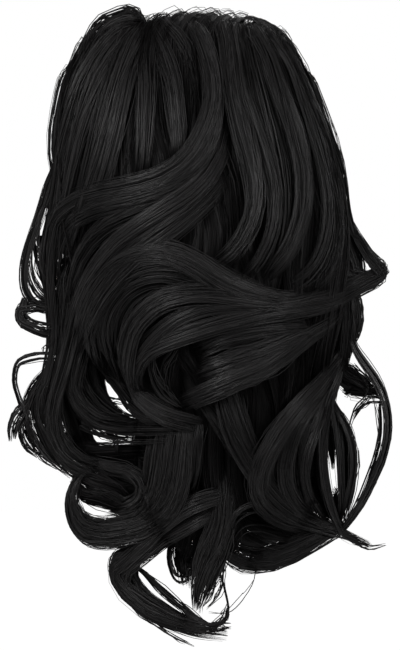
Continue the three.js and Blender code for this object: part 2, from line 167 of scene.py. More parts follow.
CROWN_RIGHT = [
    Lock(9, 50, [(-1.4, 1.8, -1), (3.6, 6, -1), (6, 11, -1), (6.8, 16.4, -1), (6.4, 21.6, -1),
                 (4.4, 26.4, -1)]),
    Lock(12, 50, [(3.6, 2, -1), (6.4, 9, -1), (9, 16, -1), (9.6, 22.6, -1), (7, 28.6, -1),
                  (2.4, 33.2, -1), (-3.6, 36.2, -1), (-10, 38, 0)]),
    Lock(12, 50, [(5.6, 2, -1), (9, 10, -1), (11, 18, -1), (11.4, 25, -1), (9.6, 31, -1), (5.6, 35.4, -1),
                  (0.4, 38, -1), (-5, 39.6, 0)]),
    Lock(8, 80, [(4.6, 1.8, 4), (6.4, 5.6, 7), (7, 10.4, 8.5), (8.2, 15, 9.5), (10.2, 20, 10.5),
                 (12.4, 25, 12), (13.9, 29.6, 13), (13.4, 33, 13), (11.4, 36, 12.5), (8.2, 38.8, 11.5),
                 (4.2, 40.6, 9), (-0.6, 42, 5)]),
    Lock(4, 34, [(13, 22, 12), (14.6, 27, 14), (14.8, 31, 14.5), (13.4, 34.6, 14), (10.6, 37.6, 13),
                 (7, 39.8, 11)]),
    Lock(7, 60, [(8.4, 2, 4), (9.2, 8, 7), (11, 13.6, 8.5), (13.8, 18.6, 9.5), (16.6, 23.6, 10.5),
                 (18.6, 28.4, 11.5), (19, 32.6, 12), (17.8, 36.4, 11.5), (15.2, 39.8, 10),
                 (11.8, 42.4, 7), (7.6, 44.6, 4)]),
    Lock(5, 40, [(11.6, 2.6, 3), (14, 9.4, 6), (16.4, 15.4, 8), (19, 21, 9), (21, 27, 9.5),
                 (21.5, 32, 9.5), (20.4, 36.6, 9), (18, 40.4, 8), (15, 43, 6)]),
    Lock(10, 110, [(13, 2.8, 4), (16.4, 7.4, 7.5), (19.4, 12.2, 10), (22.4, 17, 12), (24.8, 21.6, 13),
                   (26.2, 26.4, 13.5), (26.3, 31, 13.5), (24.8, 35.2, 13), (22.2, 38.6, 12),
                   (18.8, 41.2, 9.5), (14.8, 43.4, 6)]),
    Lock(8, 60, [(15, 3, 3), (20, 7.2, 5.5), (24, 12, 7), (27.2, 17, 8), (29.9, 22, 8.5), (32, 27.4, 9),
                 (32.9, 32.6, 9), (32, 37, 9), (29.2, 40.8, 8.5), (24.6, 43.4, 7.5), (18.6, 44.8, 6)]),
    Lock(10, 60, [(12, 2.6, 3), (15, 8, 5), (18.6, 14, 6), (21.6, 20, 6.5), (23.8, 26, 6.5),
                  (24.4, 32, 5), (22.8, 37.4, 3), (19, 42, 1)]),
    Lock(10, 60, [(9, 2.4, 3), (11.4, 8, 5), (14.2, 15, 6), (16.4, 22, 6), (17, 29, 5), (15.4, 35, 2),
                  (11.4, 40, 0)]),
    Lock(8, 40, [(14, 2.6, 2), (19.4, 8, 4), (24, 14, 5), (27.8, 20, 5), (30, 26, 4), (31, 32, 2)]),
    Lock(9, 60, [(15.6, 3.2, 0), (21.6, 7, 2), (25.6, 11.6, 3.5), (29, 16.6, 4.5), (32.5, 22, 5),
                 (34.6, 28, 5), (35.6, 34, 5), (34.8, 39, 5), (31.6, 43, 5), (26, 45.6, 5)]),
    Lock(9, 60, [(15, 3.4, 0), (21, 7, 0.5), (25.4, 11.6, 1), (28.4, 16.4, 1.5), (31.4, 21.4, 1.5),
                 (33.6, 26.8, 1.5), (35.2, 32.4, 1.5), (36.8, 38, 1), (38.6, 43.6, 0.5), (39, 50, 0),
                 (37.2, 56, 0)]),
    Lock(4, 24, [(12, 2, 1), (17.6, 3.2, 1), (22, 5.6, 1), (25.6, 9.4, 1.5), (28.4, 13.6, 2),
                 (31.8, 18.2, 2), (35, 22.8, 2), (37.2, 27.4, 2), (38.4, 32, 2), (40.4, 36.4, 1),
                 (43.4, 39.6, 0), (46.6, 41.8, 0)]),
    Lock(3, 16, [(9, 1.6, 1), (15, 2.6, 1), (20.5, 4.7, 1), (24.5, 7.9, 1), (27, 11.4, 1), (30, 16.8, 1),
                 (33, 20.4, 1), (36, 25, 1), (37.2, 29.6, 1), (39.4, 34.4, 1), (43, 38.4, 0),
                 (47, 42, 0)]),
    Lock(3, 12, [(14, 3, 1), (19.6, 6.4, 1.5), (23.6, 10, 2), (26.4, 14, 2), (30, 19, 2), (33.4, 24, 2),
                 (35.4, 29, 2)]),
]
CROWN_LOWER = [
    Lock(11, 110, [(6.6, 15, -1), (6, 19, 2), (5, 22.6, 6), (2, 26.6, 10.5), (-3.2, 29.9, 13.5),
                   (-9.4, 32.4, 14.5), (-15.4, 34.8, 14.5), (-21, 37.2, 13.5), (-26, 40.4, 12),
                   (-30, 44.2, 10.5), (-32.8, 48.6, 9), (-34.8, 53, 7.5), (-36.6, 57.4, 6),
                   (-38.6, 61.4, 4.5), (-39.2, 65.2, 3), (-37.4, 68.8, 2), (-33.8, 71.4, 1.5),
                   (-29, 73, 1.5), (-23.6, 73.8, 2)]),
    Lock(12, 90, [(9, 18, -1), (8.4, 22, 0), (6.6, 26, 2), (3, 29.4, 4.5), (-2.4, 32.4, 8),
                  (-8, 35.2, 11), (-13.8, 37.6, 12.5), (-19.2, 40.4, 11.5), (-24, 43.8, 10.5),
                  (-27.8, 47.8, 9.5), (-30.6, 52.2, 8.5), (-32.8, 56.4, 7.5), (-33.6, 60, 6.5),
                  (-31, 63, 6), (-26.4, 65.2, 5.5), (-20, 66.2, 5.5), (-13, 66.2, 5.5), (-6, 66, 5.5),
                  (1, 66.4, 4)]),
    Lock(10, 70, [(4.4, 14, 4), (4.2, 20, 6), (0.6, 25, 9), (-5, 28, 10.5), (-11, 29.6, 10.5),
                  (-17.4, 30.8, 10), (-24, 31.6, 9), (-30, 32.8, 8), (-35, 35, 6), (-37.6, 39, 4)]),
    Lock(12, 80, [(5, 17, 4.5), (2, 23.6, 6.5), (-4, 28, 8.5), (-10, 30.6, 8.5), (-16, 32.4, 8.5),
                  (-22, 34, 8), (-27.4, 36.4, 7), (-31.4, 40, 6), (-33.8, 45, 4.5), (-34.8, 50.4, 3.5),
                  (-36, 56, 2.5), (-36, 60.4, 2)]),
    Lock(16, 90, [(20, 12, -1), (25, 18, -1), (29, 24, 0), (31, 31, 0), (30, 38, 0), (27, 44, 0),
                  (23, 50, 0)]),
    Lock(16, 70, [(6, 14, -2), (9, 22, -2), (9, 30, -2), (5, 37, -2), (0, 43, -1), (-5, 49, 0)]),
    Lock(12, 70, [(31, 24, 1), (34, 30, 0), (36.5, 36, 0), (38, 42, 0), (38.5, 48, 0), (37.5, 54, 0),
                  (35, 59, 0)]),
    Lock(9, 70, [(33, 28, 0), (36.5, 33, -1), (39.4, 37.6, -2), (41.4, 41.4, -2), (40, 45.2, -1),
                 (37, 48, 0)]),
    Lock(10, 70, [(-36, 27, -2), (-38.5, 32, -2), (-40.5, 37, -2), (-41, 41, -2), (-39.5, 45, -2),
                  (-36, 48, -1)]),
]
WAIST = [
    Lock(9, 100, [(36, 31, 2), (38.8, 34.3, 1), (42, 37.6, 1), (44.9, 40.2, 1), (47.4, 41.8, 0),
                  (46, 42.4, 0), (43, 43.2, 1), (39.6, 44.3, 3), (34, 46, 5), (28, 46.9, 7),
                  (21.6, 47.6, 8.5), (15, 48.2, 9.5), (8.6, 49.2, 10), (2, 50.2, 10), (-4, 51.4, 10),
                  (-9.6, 52.6, 9.5), (-14, 54, 9), (-16.4, 56, 8.5), (-16.6, 58.6, 8), (-14, 60.8, 7.5),
                  (-9.6, 62.2, 7)]),
    Lock(8, 80, [(36, 43.6, 3), (30, 45.6, 6), (23.6, 46.8, 8), (17, 47, 9), (10.6, 47, 9.5),
                 (4, 47.2, 9.5), (-2, 48, 9.5), (-7.6, 49.6, 9), (-12, 51.8, 8.5), (-15.6, 54.4, 8),
                 (-17.8, 57.2, 7.5), (-16.6, 60, 7), (-12.6, 62, 7), (-7, 63.2, 7)]),
    Lock(10, 110, [(33, 45, 4), (27, 46.2, 6.5), (20.6, 46.6, 8.5), (14, 46, 10), (7, 45.4, 11),
                   (0.4, 45, 11.5), (-5.4, 45.3, 11.5), (-10.8, 46.3, 11.5), (-15, 48.2, 11),
                   (-18, 50.6, 10.5), (-19.4, 53.4, 10), (-19.6, 56, 10), (-18.6, 58.6, 9.5),
                   (-16.4, 60.8, 9), (-12.8, 62.6, 8.5), (-8, 64, 8), (-2.4, 64.8, 7), (3.4, 65.8, 5)]),
    Lock(10, 110, [(34, 43.8, 3), (28, 45.6, 6), (21, 46.2, 8.5), (14.4, 45.6, 10.5), (8.4, 44.4, 12),
                   (3.4, 42.8, 13), (-1.6, 40.8, 13.5), (-7, 39.3, 13.5), (-13, 38.8, 13.5),
                   (-18.6, 39.5, 13), (-23.6, 41.2, 11), (-27.6, 44, 10.5), (-30.4, 47.6, 10),
                   (-32, 51.6, 9), (-33.6, 55.4, 8), (-34.6, 59, 7), (-32.6, 62, 6.5), (-28.6, 64.2, 6),
                   (-23, 65.6, 6), (-16, 66, 6), (-9, 66, 6)]),
    Lock(11, 110, [(26, 46.4, 5), (19, 46, 7.5), (12.6, 44.8, 9.5), (7, 43.4, 10.5), (1.6, 41.8, 11),
                   (-4, 40.6, 11), (-10, 40, 11), (-16, 40.6, 10.5), (-21, 42.2, 10), (-25.2, 44.8, 9.5),
                   (-28, 48.2, 9), (-29, 52, 8), (-27.4, 55, 7), (-24.4, 57.2, 6.5), (-21.4, 59.8, 6),
                   (-17.8, 62.4, 5.5), (-12.8, 64.4, 5.5), (-6.6, 65.4, 5.5)]),
    Lock(8, 60, [(22, 47, 4), (14, 45.8, 7), (7.4, 44.6, 8.5), (1.4, 43.6, 9), (-4.4, 42.6, 9),
                 (-10.4, 42, 9), (-16, 42.6, 8.5), (-20.6, 44.2, 8), (-24, 46.8, 7.5), (-25.6, 50, 7),
                 (-25, 53.4, 6.5), (-22.8, 56.4, 6), (-20.4, 59.2, 6)]),
    Lock(8, 40, [(-2, 44.4, 5), (-8, 43.8, 5), (-14, 44, 5), (-18.6, 45.6, 5), (-21.4, 48.2, 5),
                 (-22.4, 51.4, 5), (-21.6, 55, 5)]),
    Lock(8, 40, [(-3, 46.6, 4), (-9, 46.8, 4), (-14, 48.4, 4), (-17, 51, 4), (-18.4, 54.6, 4)]),
    Lock(5, 14, [(-12.6, 53.6, 5), (-12.8, 57, 5), (-10, 60.4, 5), (-5, 62.6, 5)]),
    Lock(5, 12, [(-6, 53, 3), (-9, 56, 3), (-9.4, 59.6, 3), (-6, 62.4, 3)]),
    Lock(16, 60, [(-4, 51, -2), (-8, 55, -2), (-8.4, 59.6, -2), (-5, 64, -2)]),
    Lock(9, 70, [(30, 50.2, 4), (23, 50.2, 6), (16, 50.6, 7.5), (9.4, 51.2, 8), (3.4, 52.4, 7.5),
                 (-2, 54, 6.5)]),
    Lock(8, 60, [(24, 51.8, 5), (17.6, 52.6, 7), (11, 53.8, 8), (5, 55, 8), (-1, 56.4, 7)]),
    Lock(10, 80, [(31, 50.6, 4), (26, 51.6, 6), (21, 53, 8), (15.6, 54.4, 9), (10, 55.4, 9.5),
                  (4.4, 56.6, 9), (-1.4, 58, 8)]),
    Lock(10, 100, [(33, 50, 4), (27, 52, 6.5), (22, 54, 8.5), (17, 56, 10), (11.4, 57.6, 10.5),
                   (5.4, 59, 10), (-0.6, 60.6, 8.5), (-6, 62, 7)]),
    Lock(5, 50, [(38, 47.4, 2), (33.6, 49.6, 4.5), (28.6, 51.4, 7), (24, 53.4, 9), (19.4, 55.6, 10.5),
                 (14, 57.6, 11), (8, 59.4, 11), (2.4, 61, 10), (-2.4, 62.4, 8.5)]),
    Lock(7, 50, [(35, 40.6, 4), (39, 41.8, 2), (42, 42.6, 1), (39.6, 43.8, 2), (34.6, 45.4, 4.5),
                 (28.6, 46.6, 6)]),
    Lock(7, 50, [(40.2, 44.4, 0), (40.8, 47.2, 0), (40.9, 49.8, 0), (39.6, 53, 0)]),
    Lock(14, 60, [(26, 52, -1), (24, 56, -1), (22, 60, -1), (19, 64, -1)]),
    Lock(14, 50, [(-23, 49, -3), (-25.4, 53, -4), (-27, 57, -5), (-28.6, 61.4, -6)], 0.5),
    Lock(9, 70, [(-31, 50, 3), (-30.2, 55, 3), (-28.4, 59, 2.5), (-25, 62.2, 2), (-20, 64.5, 2),
                 (-14, 65.4, 2)], 0.5),
    Lock(8, 40, [(-18.6, 52, -3), (-21, 55.6, -3), (-21.6, 58.4, -3), (-19, 61.4, -3)], 0.5),
    Lock(10, 50, [(-27, 51, -1), (-25, 55, -1), (-22, 57.6, -1), (-17.6, 60.4, -1)], 0.6),
    Lock(8, 70, [(-28.8, 52, -1), (-27.2, 57, -1), (-25.4, 61, -1), (-21.6, 64, -1)], 0.5),
    Lock(3, 16, [(-28, 60.2, 0), (-24.6, 61.4, 0), (-20, 62, 0)]),
    Lock(3, 24, [(-22.4, 55, 0), (-22, 59, 0), (-20.4, 62, 0), (-17, 64.4, 0)]),
]
LEFT = [
    Lock(6, 50, [(-37.6, 22, -1), (-38.8, 25.6, -1), (-40.6, 29, -1), (-42.2, 32.4, -1), (-44.4, 36, -1),
                 (-46, 39, -1), (-46.8, 42, -1), (-46.2, 44.8, -1), (-43.6, 46.8, -1), (-39, 47.7, 0),
                 (-34, 48, 1)], 0.5),
    Lock(5, 34, [(-37.5, 24, 0), (-40, 29, -1), (-43, 33, -1), (-43.5, 38, -1), (-41.5, 42, -1),
                 (-38.5, 45.5, 0), (-34, 48, 1)]),
    Lock(5, 34, [(-38, 29, 0), (-40, 34, 0), (-40, 39, 0), (-37.5, 43.5, 0), (-33, 46.5, 1)]),
    Lock(5, 30, [(-44, 35, -1), (-45.5, 39.5, -1), (-44.6, 43, -1), (-41.5, 45.6, 0), (-36, 47, 0)]),
    Lock(4, 24, [(-42, 36, 0), (-43, 40, 0), (-41, 43.4, 0), (-37, 45.6, 0)]),
    Lock(5, 50, [(-34, 46.8, 1), (-40, 47, 0), (-44.6, 47, 0), (-47.8, 47.8, 0), (-47.7, 49.1, 0),
                 (-44.8, 50.3, 0), (-40.6, 51.3, 0), (-35, 51.6, 1)]),
    Lock(5, 40, [(-46.4, 45.6, -1), (-47.2, 48.2, -1), (-45, 49.8, -1), (-40.5, 50.5, 0),
                 (-34, 50.4, 1)]),
    Lock(2, 4, [(-35, 52.4, 1), (-39, 52.6, 0), (-41.6, 53.4, 0), (-41.2, 54.6, 0)]),
    Lock(16, 80, [(-33, 38, 0), (-36, 43, 0), (-36.6, 48, 0), (-36.5, 53, 0), (-37.5, 58, 0)]),
    Lock(12, 80, [(-31, 40, 4), (-33.8, 44.6, 4), (-35.4, 49.6, 3.5), (-36.8, 54.6, 3), (-38.4, 59, 2.5),
                  (-38.6, 63.4, 2), (-37, 67.2, 1.5), (-33.6, 70, 1.5), (-28.6, 71.6, 2), (-23, 72, 2)]),
    Lock(9, 60, [(-30.4, 50, 6), (-31.4, 54, 6), (-31.6, 58, 5.5), (-29, 61.4, 5), (-24.6, 64, 5),
                 (-19, 65.4, 5), (-12, 65.8, 5)]),
    Lock(11, 80, [(-34, 52, 2), (-37.4, 56.6, 1), (-40, 60.6, 1), (-40.6, 64.4, 1), (-39, 68, 1),
                  (-36, 71, 1), (-31.4, 72.8, 1), (-25.6, 73.6, 2)]),
    Lock(7, 50, [(-36, 54.8, 0), (-40.4, 57.4, 0), (-43.4, 60.6, 0), (-43.6, 63.6, 0), (-41.4, 67.2, 0),
                 (-38.6, 70.4, 0), (-35.4, 72.6, 0)]),
    Lock(4, 30, [(-32, 54.6, 1), (-37, 54.8, 0), (-44, 54.9, 0), (-48.2, 55.9, 0), (-49.2, 58.3, 0),
                 (-47.8, 61.6, 0), (-45.6, 65.4, 0), (-43, 68.4, 0), (-39, 71.4, 0),
                 (-34.4, 73.6, 0)], 0.9),
    Lock(4, 40, [(-46, 61.6, 0), (-48.6, 63.4, 0), (-50.4, 65.8, 0), (-50.4, 68, 0)]),
    Lock(7, 70, [(-35, 55.6, -1), (-40.6, 57.6, -1), (-44.6, 60.4, -1), (-46.2, 63.6, -1), (-45, 67, -1),
                 (-42, 69.6, -1), (-38, 71.6, -1)], 0.5),
    Lock(4, 30, [(-46.4, 63, 0), (-48.4, 65, 0), (-49.2, 67.6, 0)]),
    Lock(4, 30, [(-46.8, 64.4, 0), (-47.6, 66.6, 0), (-46.4, 68.6, 0), (-43, 70.4, 0)]),
    Lock(3, 10, [(-45.4, 66, 0), (-44, 68.6, 0), (-41, 71, 0), (-38, 72.2, 0)]),
    Lock(10, 110, [(-3.4, 62, 3), (-4.4, 66, 5), (-5, 70, 7), (-5.6, 73.6, 8), (-7.4, 77, 8.5),
                   (-10.6, 79.6, 8), (-15, 81.2, 7), (-20.6, 82, 5), (-26, 82.2, 3.5), (-30.6, 81.2, 2),
                   (-33, 79.2, 1), (-33.9, 76.8, 0), (-33, 74.4, 0), (-30.6, 72.4, 0),
                   (-26.6, 71.8, 0)], 0.6),
    Lock(9, 80, [(-6.4, 63, 2), (-7.6, 67, 4), (-8.2, 71, 5.5), (-9.2, 74.8, 6.5), (-11.8, 78, 6.5),
                 (-16, 80, 5.5), (-21.4, 80.8, 4), (-26.6, 80.9, 2.5), (-30.6, 79.8, 1), (-32.8, 77.6, 0),
                 (-32.2, 75, 0)], 0.6),
    Lock(9, 60, [(-9.6, 64, 1), (-10.8, 68, 3), (-11.6, 72, 4.5), (-13, 75.8, 5), (-16.4, 78.6, 4.5),
                 (-21, 79.8, 3), (-25.4, 80.2, 2)]),
    Lock(8, 50, [(-12.4, 66, 0), (-13.6, 70, 2), (-14.4, 74, 3), (-17, 77.4, 3), (-21, 78.8, 2)]),
    Lock(9, 60, [(-0.6, 64, 2), (-1.6, 68, 3.5), (-2.2, 72, 4), (-3.6, 75.6, 4)]),
    Lock(7, 70, [(-9, 78.6, 6), (-13.6, 81.2, 5), (-19.4, 82.9, 4), (-25.4, 83.5, 2.5), (-30.6, 82.9, 1),
                 (-33.2, 81.2, 0.5), (-34.6, 78.6, 0), (-34.5, 76.2, 0), (-33, 74, 0),
                 (-30, 72.6, 0)], 0.5),
    Lock(9, 60, [(-30, 70.6, 1), (-25, 71.8, 1.5), (-20, 72.4, 2), (-15.4, 74, 2.5), (-13, 76.8, 3),
                 (-13.2, 79.6, 3)]),
    Lock(7, 40, [(-26, 71.8, -1), (-21, 72.6, 1), (-18, 73.4, 3), (-16.2, 74.8, 4.5), (-16.6, 76.4, 4.5),
                 (-19.4, 77.6, 4), (-23, 78, 3)]),
    Lock(12, 110, [(-33.4, 73.2, -1), (-28.4, 74.2, -1), (-23, 75.4, -1), (-18, 77, -1)]),
    Lock(8, 40, [(-31, 75.4, 0), (-26, 76.2, 0), (-21, 77.6, 0), (-15.6, 79.4, 0)]),
    Lock(14, 60, [(-27, 52, -6), (-30, 57, -7), (-31.6, 62, -8), (-31, 66.6, -8), (-27.6, 70, -8),
                  (-22, 72.4, -7), (-16, 74, -6), (-10, 75, -5)]),
    Lock(13, 60, [(-12, 60, -6), (-14.6, 64, -7), (-16.4, 68.4, -7), (-17, 73, -6), (-15.5, 77, -5),
                  (-12, 80, -4)]),
    Lock(12, 50, [(-34, 66, -6), (-30, 70.5, -6), (-24, 73, -6), (-16, 75.5, -5), (-9, 76, -4)]),
    Lock(8, 20, [(-24, 69, -8), (-20, 70.6, -8), (-15, 71.6, -8), (-11, 73, -7)]),
    Lock(5, 10, [(-34, 66.6, -6), (-28, 65.8, -6), (-22, 66.8, -6), (-16, 68.4, -6)]),
    Lock(4, 40, [(-32, 65.2, 0), (-28, 66.2, 0), (-24, 66.8, 0), (-18, 67, 0)]),
    Lock(3, 24, [(-24, 65.4, 0), (-22.8, 67.4, 0), (-22.4, 70, 0)]),
    Lock(7, 50, [(-33, 68.6, -2), (-27, 69.4, -2), (-20, 69.2, -2), (-13, 69, -2)]),
    Lock(18, 70, [(-36.5, 56, -6), (-36.4, 61, -7), (-34, 66, -8), (-30, 70, -8)], 0.6),
    Lock(10, 60, [(-36, 67.6, -4), (-31, 69.4, -5), (-25, 70, -5), (-18, 70.4, -5), (-11, 70.6, -4)]),
    Lock(8, 80, [(-34, 74, -1), (-31, 76.2, -1), (-26.6, 77.1, -1), (-21.6, 77.8, -1), (-15, 78.4, -1)]),
    Lock(6, 60, [(-12, 77.8, -1), (-16, 78.6, -1), (-20, 78.9, -1), (-24.6, 78.8, -1)], 0.6),
    Lock(4, 10, [(-27, 60, -6), (-24, 62.6, -6), (-20, 64.4, -6), (-15, 66, -6)]),
    Lock(14, 60, [(-34, 72.5, -3), (-28, 74.4, -4), (-21, 75.4, -4), (-14, 75, -3), (-7, 73.5, -2)]),
    Lock(12, 50, [(-19, 77.4, -2), (-14, 78.4, -3), (-9, 78.2, -3), (-3, 77, -2)]),
]
RIGHT = [
    Lock(9, 90, [(2.6, 55, -2), (4.4, 59, 1), (6.4, 63, 5), (8.2, 66.6, 7.5), (11, 70, 8), (14.2, 73, 8),
                 (18, 76, 7.5), (22.6, 78.6, 6.5), (27.4, 80.4, 5), (32.4, 81.4, 3), (36, 82, 1.5),
                 (40, 83.2, 0.5), (44, 84, 0)], 0.3),
    Lock(8, 50, [(5.6, 55, -2), (7.6, 59.6, 1), (9.4, 64, 4), (11.4, 67.6, 6), (14, 71, 6),
                 (17, 74.4, 6)]),
    Lock(6, 40, [(-3, 60, 0), (1, 62.4, 2), (4, 65, 4), (7, 67.8, 5), (10.4, 70.6, 5), (13.6, 73.4, 5)]),
    Lock(10, 120, [(38.4, 52.6, 3), (35.2, 55.8, 5), (31.4, 58.4, 7), (27.6, 60.8, 8.5), (24, 63.2, 9.5),
                   (20.8, 65.8, 10), (18.2, 68.4, 10), (16, 71, 9.5), (14.8, 73.8, 9), (15.4, 76.4, 8),
                   (18.4, 78.6, 7), (22.6, 80, 5.5), (27.6, 80.8, 4), (33, 81.4, 2)]),
    Lock(9, 80, [(37.6, 54, 3), (34.6, 57.4, 4.5), (31, 60.2, 6), (27.4, 62.8, 7), (24.4, 65.6, 7.5),
                 (22.4, 68.8, 7.5), (21.4, 72, 7), (22.2, 75.2, 6.5), (25, 78, 5.5), (29.4, 80, 4),
                 (34, 81.4, 2)]),
    Lock(8, 60, [(36.6, 56, 2), (34, 59.2, 3.5), (31.8, 62.4, 4.5), (29.6, 65.8, 5), (27.6, 69, 5),
                 (26.6, 72.4, 5), (27.6, 75.8, 4.5), (30.4, 78.8, 3), (34.4, 81.2, 1.5)]),
    Lock(9, 60, [(20, 66, 5), (17.4, 69.6, 6), (16.4, 73, 6), (17.6, 76.4, 5.5), (21, 79, 4.5)]),
    Lock(7, 70, [(38, 54.4, 2), (35.6, 58.4, 3.5), (33.4, 62, 4.5), (32, 65.8, 5), (31.6, 69.6, 5),
                 (32, 73.4, 4.5), (33.2, 77, 3.5), (35.2, 80.4, 2), (37, 82.4, 1), (40.6, 83.6, 0),
                 (44.6, 84.2, 0)], 0.3),
    Lock(7, 60, [(33, 58, -1), (33.8, 61.6, 0), (35, 65, 1), (35.8, 68.4, 2), (36.2, 72.4, 2),
                 (36.6, 76.4, 1.5), (36.6, 80, 1)]),
    Lock(6, 60, [(33.6, 61, 1), (36.4, 64, 1), (38.6, 67, 1), (39.6, 70, 1), (39.4, 73.4, 1),
                 (38.4, 76.8, 1), (37, 79.8, 0.5)]),
    Lock(10, 60, [(34, 57, -1), (29.6, 62.6, 2), (26.8, 68, 2.5), (26.2, 73, 2.5), (28.4, 77.6, 2),
                  (33, 80.6, 1)], 0.5),
    Lock(9, 50, [(35, 59, -1), (32, 64.4, 1.5), (31.4, 70, 1.5), (31.6, 75, 1.5), (33.4, 79, 1)], 0.5),
    Lock(7, 50, [(33.4, 65, -1), (34, 69, -1), (34.2, 72.4, -1)], 0.4),
    Lock(8, 40, [(33, 50, -2), (34.6, 53, -2), (35.6, 56, -2), (36, 59, -2)], 0.6),
    Lock(3, 10, [(34.8, 78.5, 0), (36.4, 81.4, 0), (39.4, 83, 0), (44, 84.4, 0), (48.3, 83.9, 0)]),
    Lock(5, 80, [(38.4, 50.6, 0), (40.4, 53.8, 0), (43.4, 56.4, 0), (46.6, 59.2, 0), (48.6, 62.8, 0),
                 (48.9, 66.4, 0), (47.4, 70.6, 0), (44.7, 74.4, 0), (41.8, 77.8, 0), (38.4, 80.8, 0),
                 (35, 83, 0)], 0.5),
    Lock(3, 16, [(46.6, 62, 0), (46.8, 66, 0), (45.6, 70, 0), (43.2, 74, 0), (40.6, 77.6, 0),
                 (37.8, 80.6, 0)]),
    Lock(3, 8, [(40.7, 69, 0), (40.8, 72, 0), (40.1, 75.5, 0), (38.3, 79, 0), (36, 82.3, 0)]),
    Lock(3, 10, [(39.6, 56, 0), (41.8, 57.5, 0), (43.8, 59.4, 0), (43, 61.2, 0), (40.8, 62.5, 0),
                 (39.3, 64.7, 0), (38.3, 66.7, 0)]),
    Lock(2, 5, [(44, 60, 0), (45.8, 63, 0), (46.6, 66.4, 0), (46.8, 69, 0)]),
    Lock(8, 60, [(36.6, 46, -2), (37.6, 50, -2), (38, 53, -2), (37.4, 56, -2)], 0.4),
    Lock(4, 40, [(47.4, 69.4, 0), (45.2, 73.4, 0), (42.4, 76.8, 0), (39.4, 79.6, 0), (36.2, 81.8, 0)]),
    Lock(7, 60, [(37, 60, -1), (41.4, 60.2, -1), (44.6, 60.2, -1), (47.2, 60.6, -1)], 0.4),
    Lock(3, 20, [(47.4, 61.6, 0), (44.6, 61.4, 0), (41.6, 62.6, 0), (39.6, 64.6, 0)]),
    Lock(11, 90, [(34.6, 55.5, -2), (38.6, 57.4, -2), (42.4, 59, -2), (46.4, 61, -2)], 0.5),
    Lock(16, 80, [(35, 54, -5), (33, 60, -6), (31, 66, -7), (29.8, 71, -7), (30.4, 75.5, -6),
                  (33.5, 79.5, -4), (37, 82, -2)], 0.5),
    Lock(13, 80, [(31, 57, -5), (31.8, 62, -6), (33.4, 67, -7), (34, 70.4, -7)], 0.8),
    Lock(9, 50, [(33, 56, -2), (36, 58.4, -2), (40, 59.6, -2), (44, 60, -2)], 0.5),
    Lock(9, 50, [(24, 79.4, -3), (28, 80.6, -3), (32.6, 81.2, -2), (37, 82, -1)], 0.5),
    Lock(10, 50, [(24, 75, -4), (28, 77.4, -4), (32, 79, -3), (36, 80.6, -2)], 0.6),
    Lock(11, 60, [(35.4, 76, -4), (35.4, 78, -4), (35.6, 80, -3), (36.4, 82, -2)], 0.6),
    Lock(11, 60, [(34.6, 51, -3), (35.4, 54, -3), (36.8, 57, -3), (39.4, 59.6, -3)], 0.5),
    Lock(9, 50, [(36.4, 64, -3), (37.8, 68, -4), (38.2, 72, -4), (37.6, 76.4, -3),
                 (36.4, 80.5, -2)], 0.5),
    Lock(15, 70, [(20, 60, -3), (22.5, 66, -4), (23, 71, -5), (23.5, 75.5, -5), (27.5, 79, -4),
                  (33.5, 81.5, -2)]),
    Lock(14, 70, [(8, 78.6, -3), (13, 80.3, -4), (19, 81.6, -4), (26.5, 82.4, -4), (33.5, 81.6, -2)]),
    Lock(10, 50, [(5, 78, -2), (8, 81.6, -3), (13.5, 83.2, -3), (20, 83.6, -3)]),
    Lock(14, 60, [(10, 70, -3), (13, 75, -4), (18, 79, -4), (24, 81.3, -4), (31, 82, -2)]),
    Lock(14, 60, [(3, 56, -2), (3.4, 62, -1), (2.6, 68, -1), (3, 74, -1), (4.5, 79, -1)]),
    Lock(14, 60, [(10, 58, -2), (9.2, 64, -2), (8.4, 70, -2), (9, 76, -2), (12, 81, -2)]),
    Lock(8, 40, [(9.4, 79, -2), (8.8, 82, -1), (7.6, 84.6, -1), (6, 86.4, -1)], 0.4),
    Lock(9, 90, [(3.6, 82.6, -3), (6.4, 85.2, 0.5), (11, 86.8, 2), (17, 87, 2), (23, 85.9, 1.5),
                 (28.4, 84.3, 1), (33, 82.7, 0.5), (37, 81.3, 0)]),
    Lock(9, 70, [(9, 84.2, 2), (14, 85.4, 2), (20, 84.8, 2), (26, 83.4, 1.5), (31.5, 82.2, 1),
                 (36, 81.5, 0)]),
    Lock(5, 20, [(6.5, 82, 5), (8.5, 79.6, 5), (12, 78, 5), (16, 78, 5), (20, 79.2, 4), (24.5, 80.4, 3),
                 (30, 81.2, 1.5), (35.5, 81.8, 0)]),
    Lock(4, 10, [(8, 83.4, 2), (11.4, 81.4, 2), (15.6, 81.2, 1.5), (21, 82.2, 1), (27, 82.4, 0.5)]),
]
